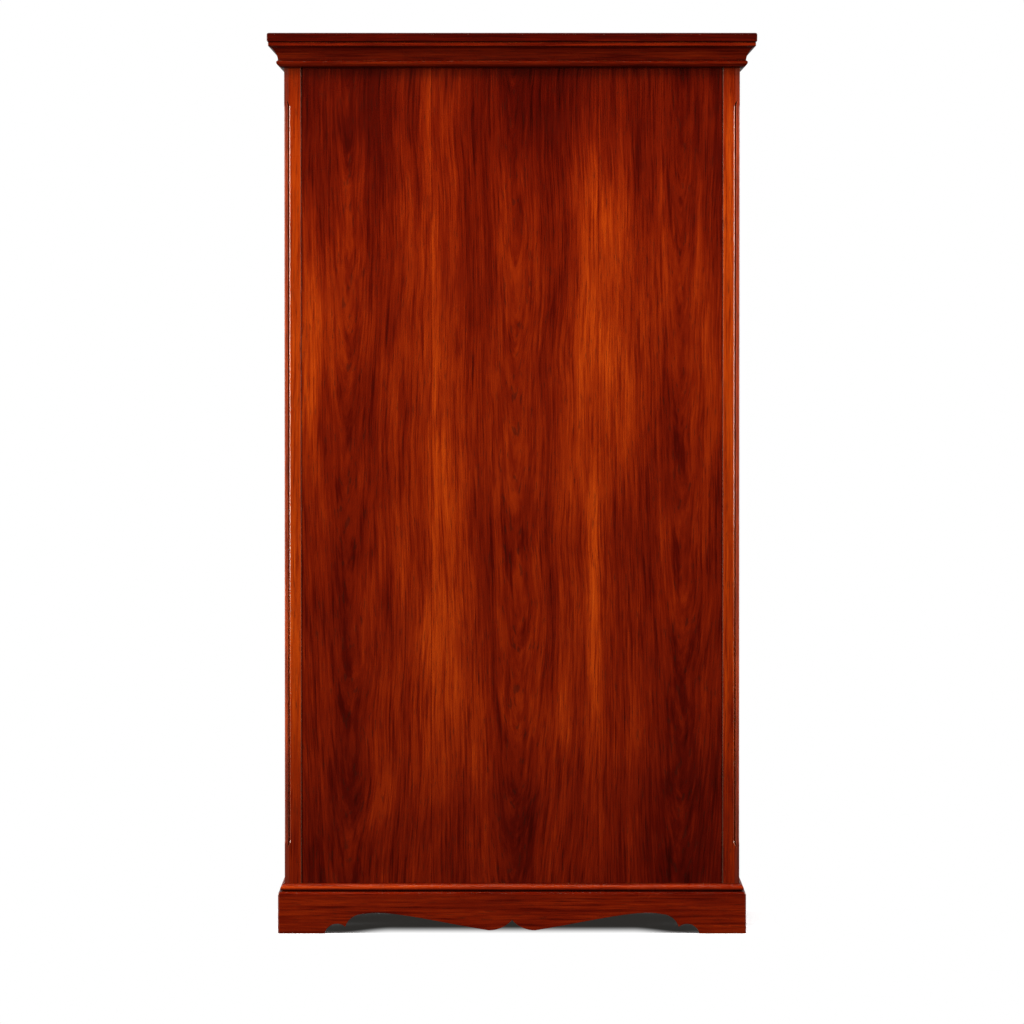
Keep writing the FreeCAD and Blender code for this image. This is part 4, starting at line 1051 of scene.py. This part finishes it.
def studio_world():
    """White for the camera, dim for the light; polish sees a sheen only behind the armoire."""
    world = bpy.data.worlds.new("studio")
    bpy.context.scene.world = world
    world.use_nodes = True
    tree = world.node_tree
    tree.nodes.clear()
    path = add(tree, "ShaderNodeLightPath").outputs
    way = split(tree, add(tree, "ShaderNodeTexCoord").outputs["Generated"])
    glow, sheen, white = (
        add(tree, "ShaderNodeBackground", {"Color": WHITE, "Strength": strength}).outputs[0]
        for strength in (AMBIENT, spread(tree, way["Y"], 0.1, 0.8, 0.0, SHEEN), 1.0))
    mix = add(tree, "ShaderNodeMixShader", {0: path["Is Glossy Ray"], 1: glow, 2: sheen})
    mix = add(tree, "ShaderNodeMixShader", {0: path["Is Camera Ray"], 1: mix.outputs[0], 2: white})
    add(tree, "ShaderNodeOutputWorld", {"Surface": mix.outputs[0]})


def studio_lights():
    """Tall soft boxes well round at each side, two behind for the doors, and one overhead."""
    for name, place, height, size, power, shown in SOFT_BOXES:
        light = bpy.data.lights.new(name, "AREA")
        light.shape = "RECTANGLE"
        light.size, light.size_y = size
        light.energy = power
        lamp = bpy.data.objects.new(name, light)
        lamp.location = place
        way = Vector((0.0, 0.0, height)) - Vector(place)
        lamp.rotation_euler = way.to_track_quat("-Z", "Y").to_euler()
        lamp.visible_glossy = shown
        bpy.context.scene.collection.objects.link(lamp)


def studio_camera(look):
    """Long lens square on to the back, from eye level and looking slightly down."""
    camera = bpy.data.cameras.new("camera")
    camera.sensor_width = SENSOR
    view = bpy.data.objects.new("camera", camera)
    view.location = (0.0, -look.camera_distance, look.eye_height)
    face = (PANEL_LOW.y + CAD_BOX[0].y) / 2
    way = Vector((0.0, face, look.view_middle)) - view.location
    camera.lens = SENSOR * way.length / look.view_height
    view.rotation_euler = way.to_track_quat("-Z", "Y").to_euler()
    bpy.context.scene.collection.objects.link(view)
    bpy.context.scene.camera = view


class ARMOIRE_OT_stage(bpy.types.Operator):
    """Set up the pale floor, the soft lights and the camera"""
    bl_idname = "armoire.stage"
    bl_label = "Studio"

    def execute(self, context):
        look = context.scene.armoire_look
        pale_floor(tuple(look.backdrop))
        studio_world()
        studio_lights()
        studio_camera(look)
        context.scene.view_settings.view_transform = "Standard"
        return {"FINISHED"}


STEPS = (ARMOIRE_OT_timber, ARMOIRE_OT_inside, ARMOIRE_OT_brassware, ARMOIRE_OT_mouldings,
         ARMOIRE_OT_knobs, ARMOIRE_OT_screws, ARMOIRE_OT_stage)


class ARMOIRE_PT_panel(bpy.types.Panel):
    """Lists the armoire's operators"""
    bl_idname = "ARMOIRE_PT_panel"
    bl_label = "Armoire"
    bl_space_type = "VIEW_3D"
    bl_region_type = "UI"
    bl_category = "Armoire"

    def draw(self, context):
        for step in STEPS:
            self.layout.operator(step.bl_idname)
        for name in ArmoireLook.__annotations__:
            self.layout.prop(context.scene.armoire_look, name)


CLASSES = (ArmoireLook, *STEPS, ARMOIRE_PT_panel)


def register():
    for item in CLASSES:
        bpy.utils.register_class(item)
    bpy.types.Scene.armoire_look = PointerProperty(type=ArmoireLook)


def unregister():
    del bpy.types.Scene.armoire_look
    for item in reversed(CLASSES):
        bpy.utils.unregister_class(item)


def main():
    register()
    for step in STEPS:
        group, name = step.bl_idname.split(".")
        getattr(getattr(bpy.ops, group), name)()


if __name__ == "__main__":
    main()
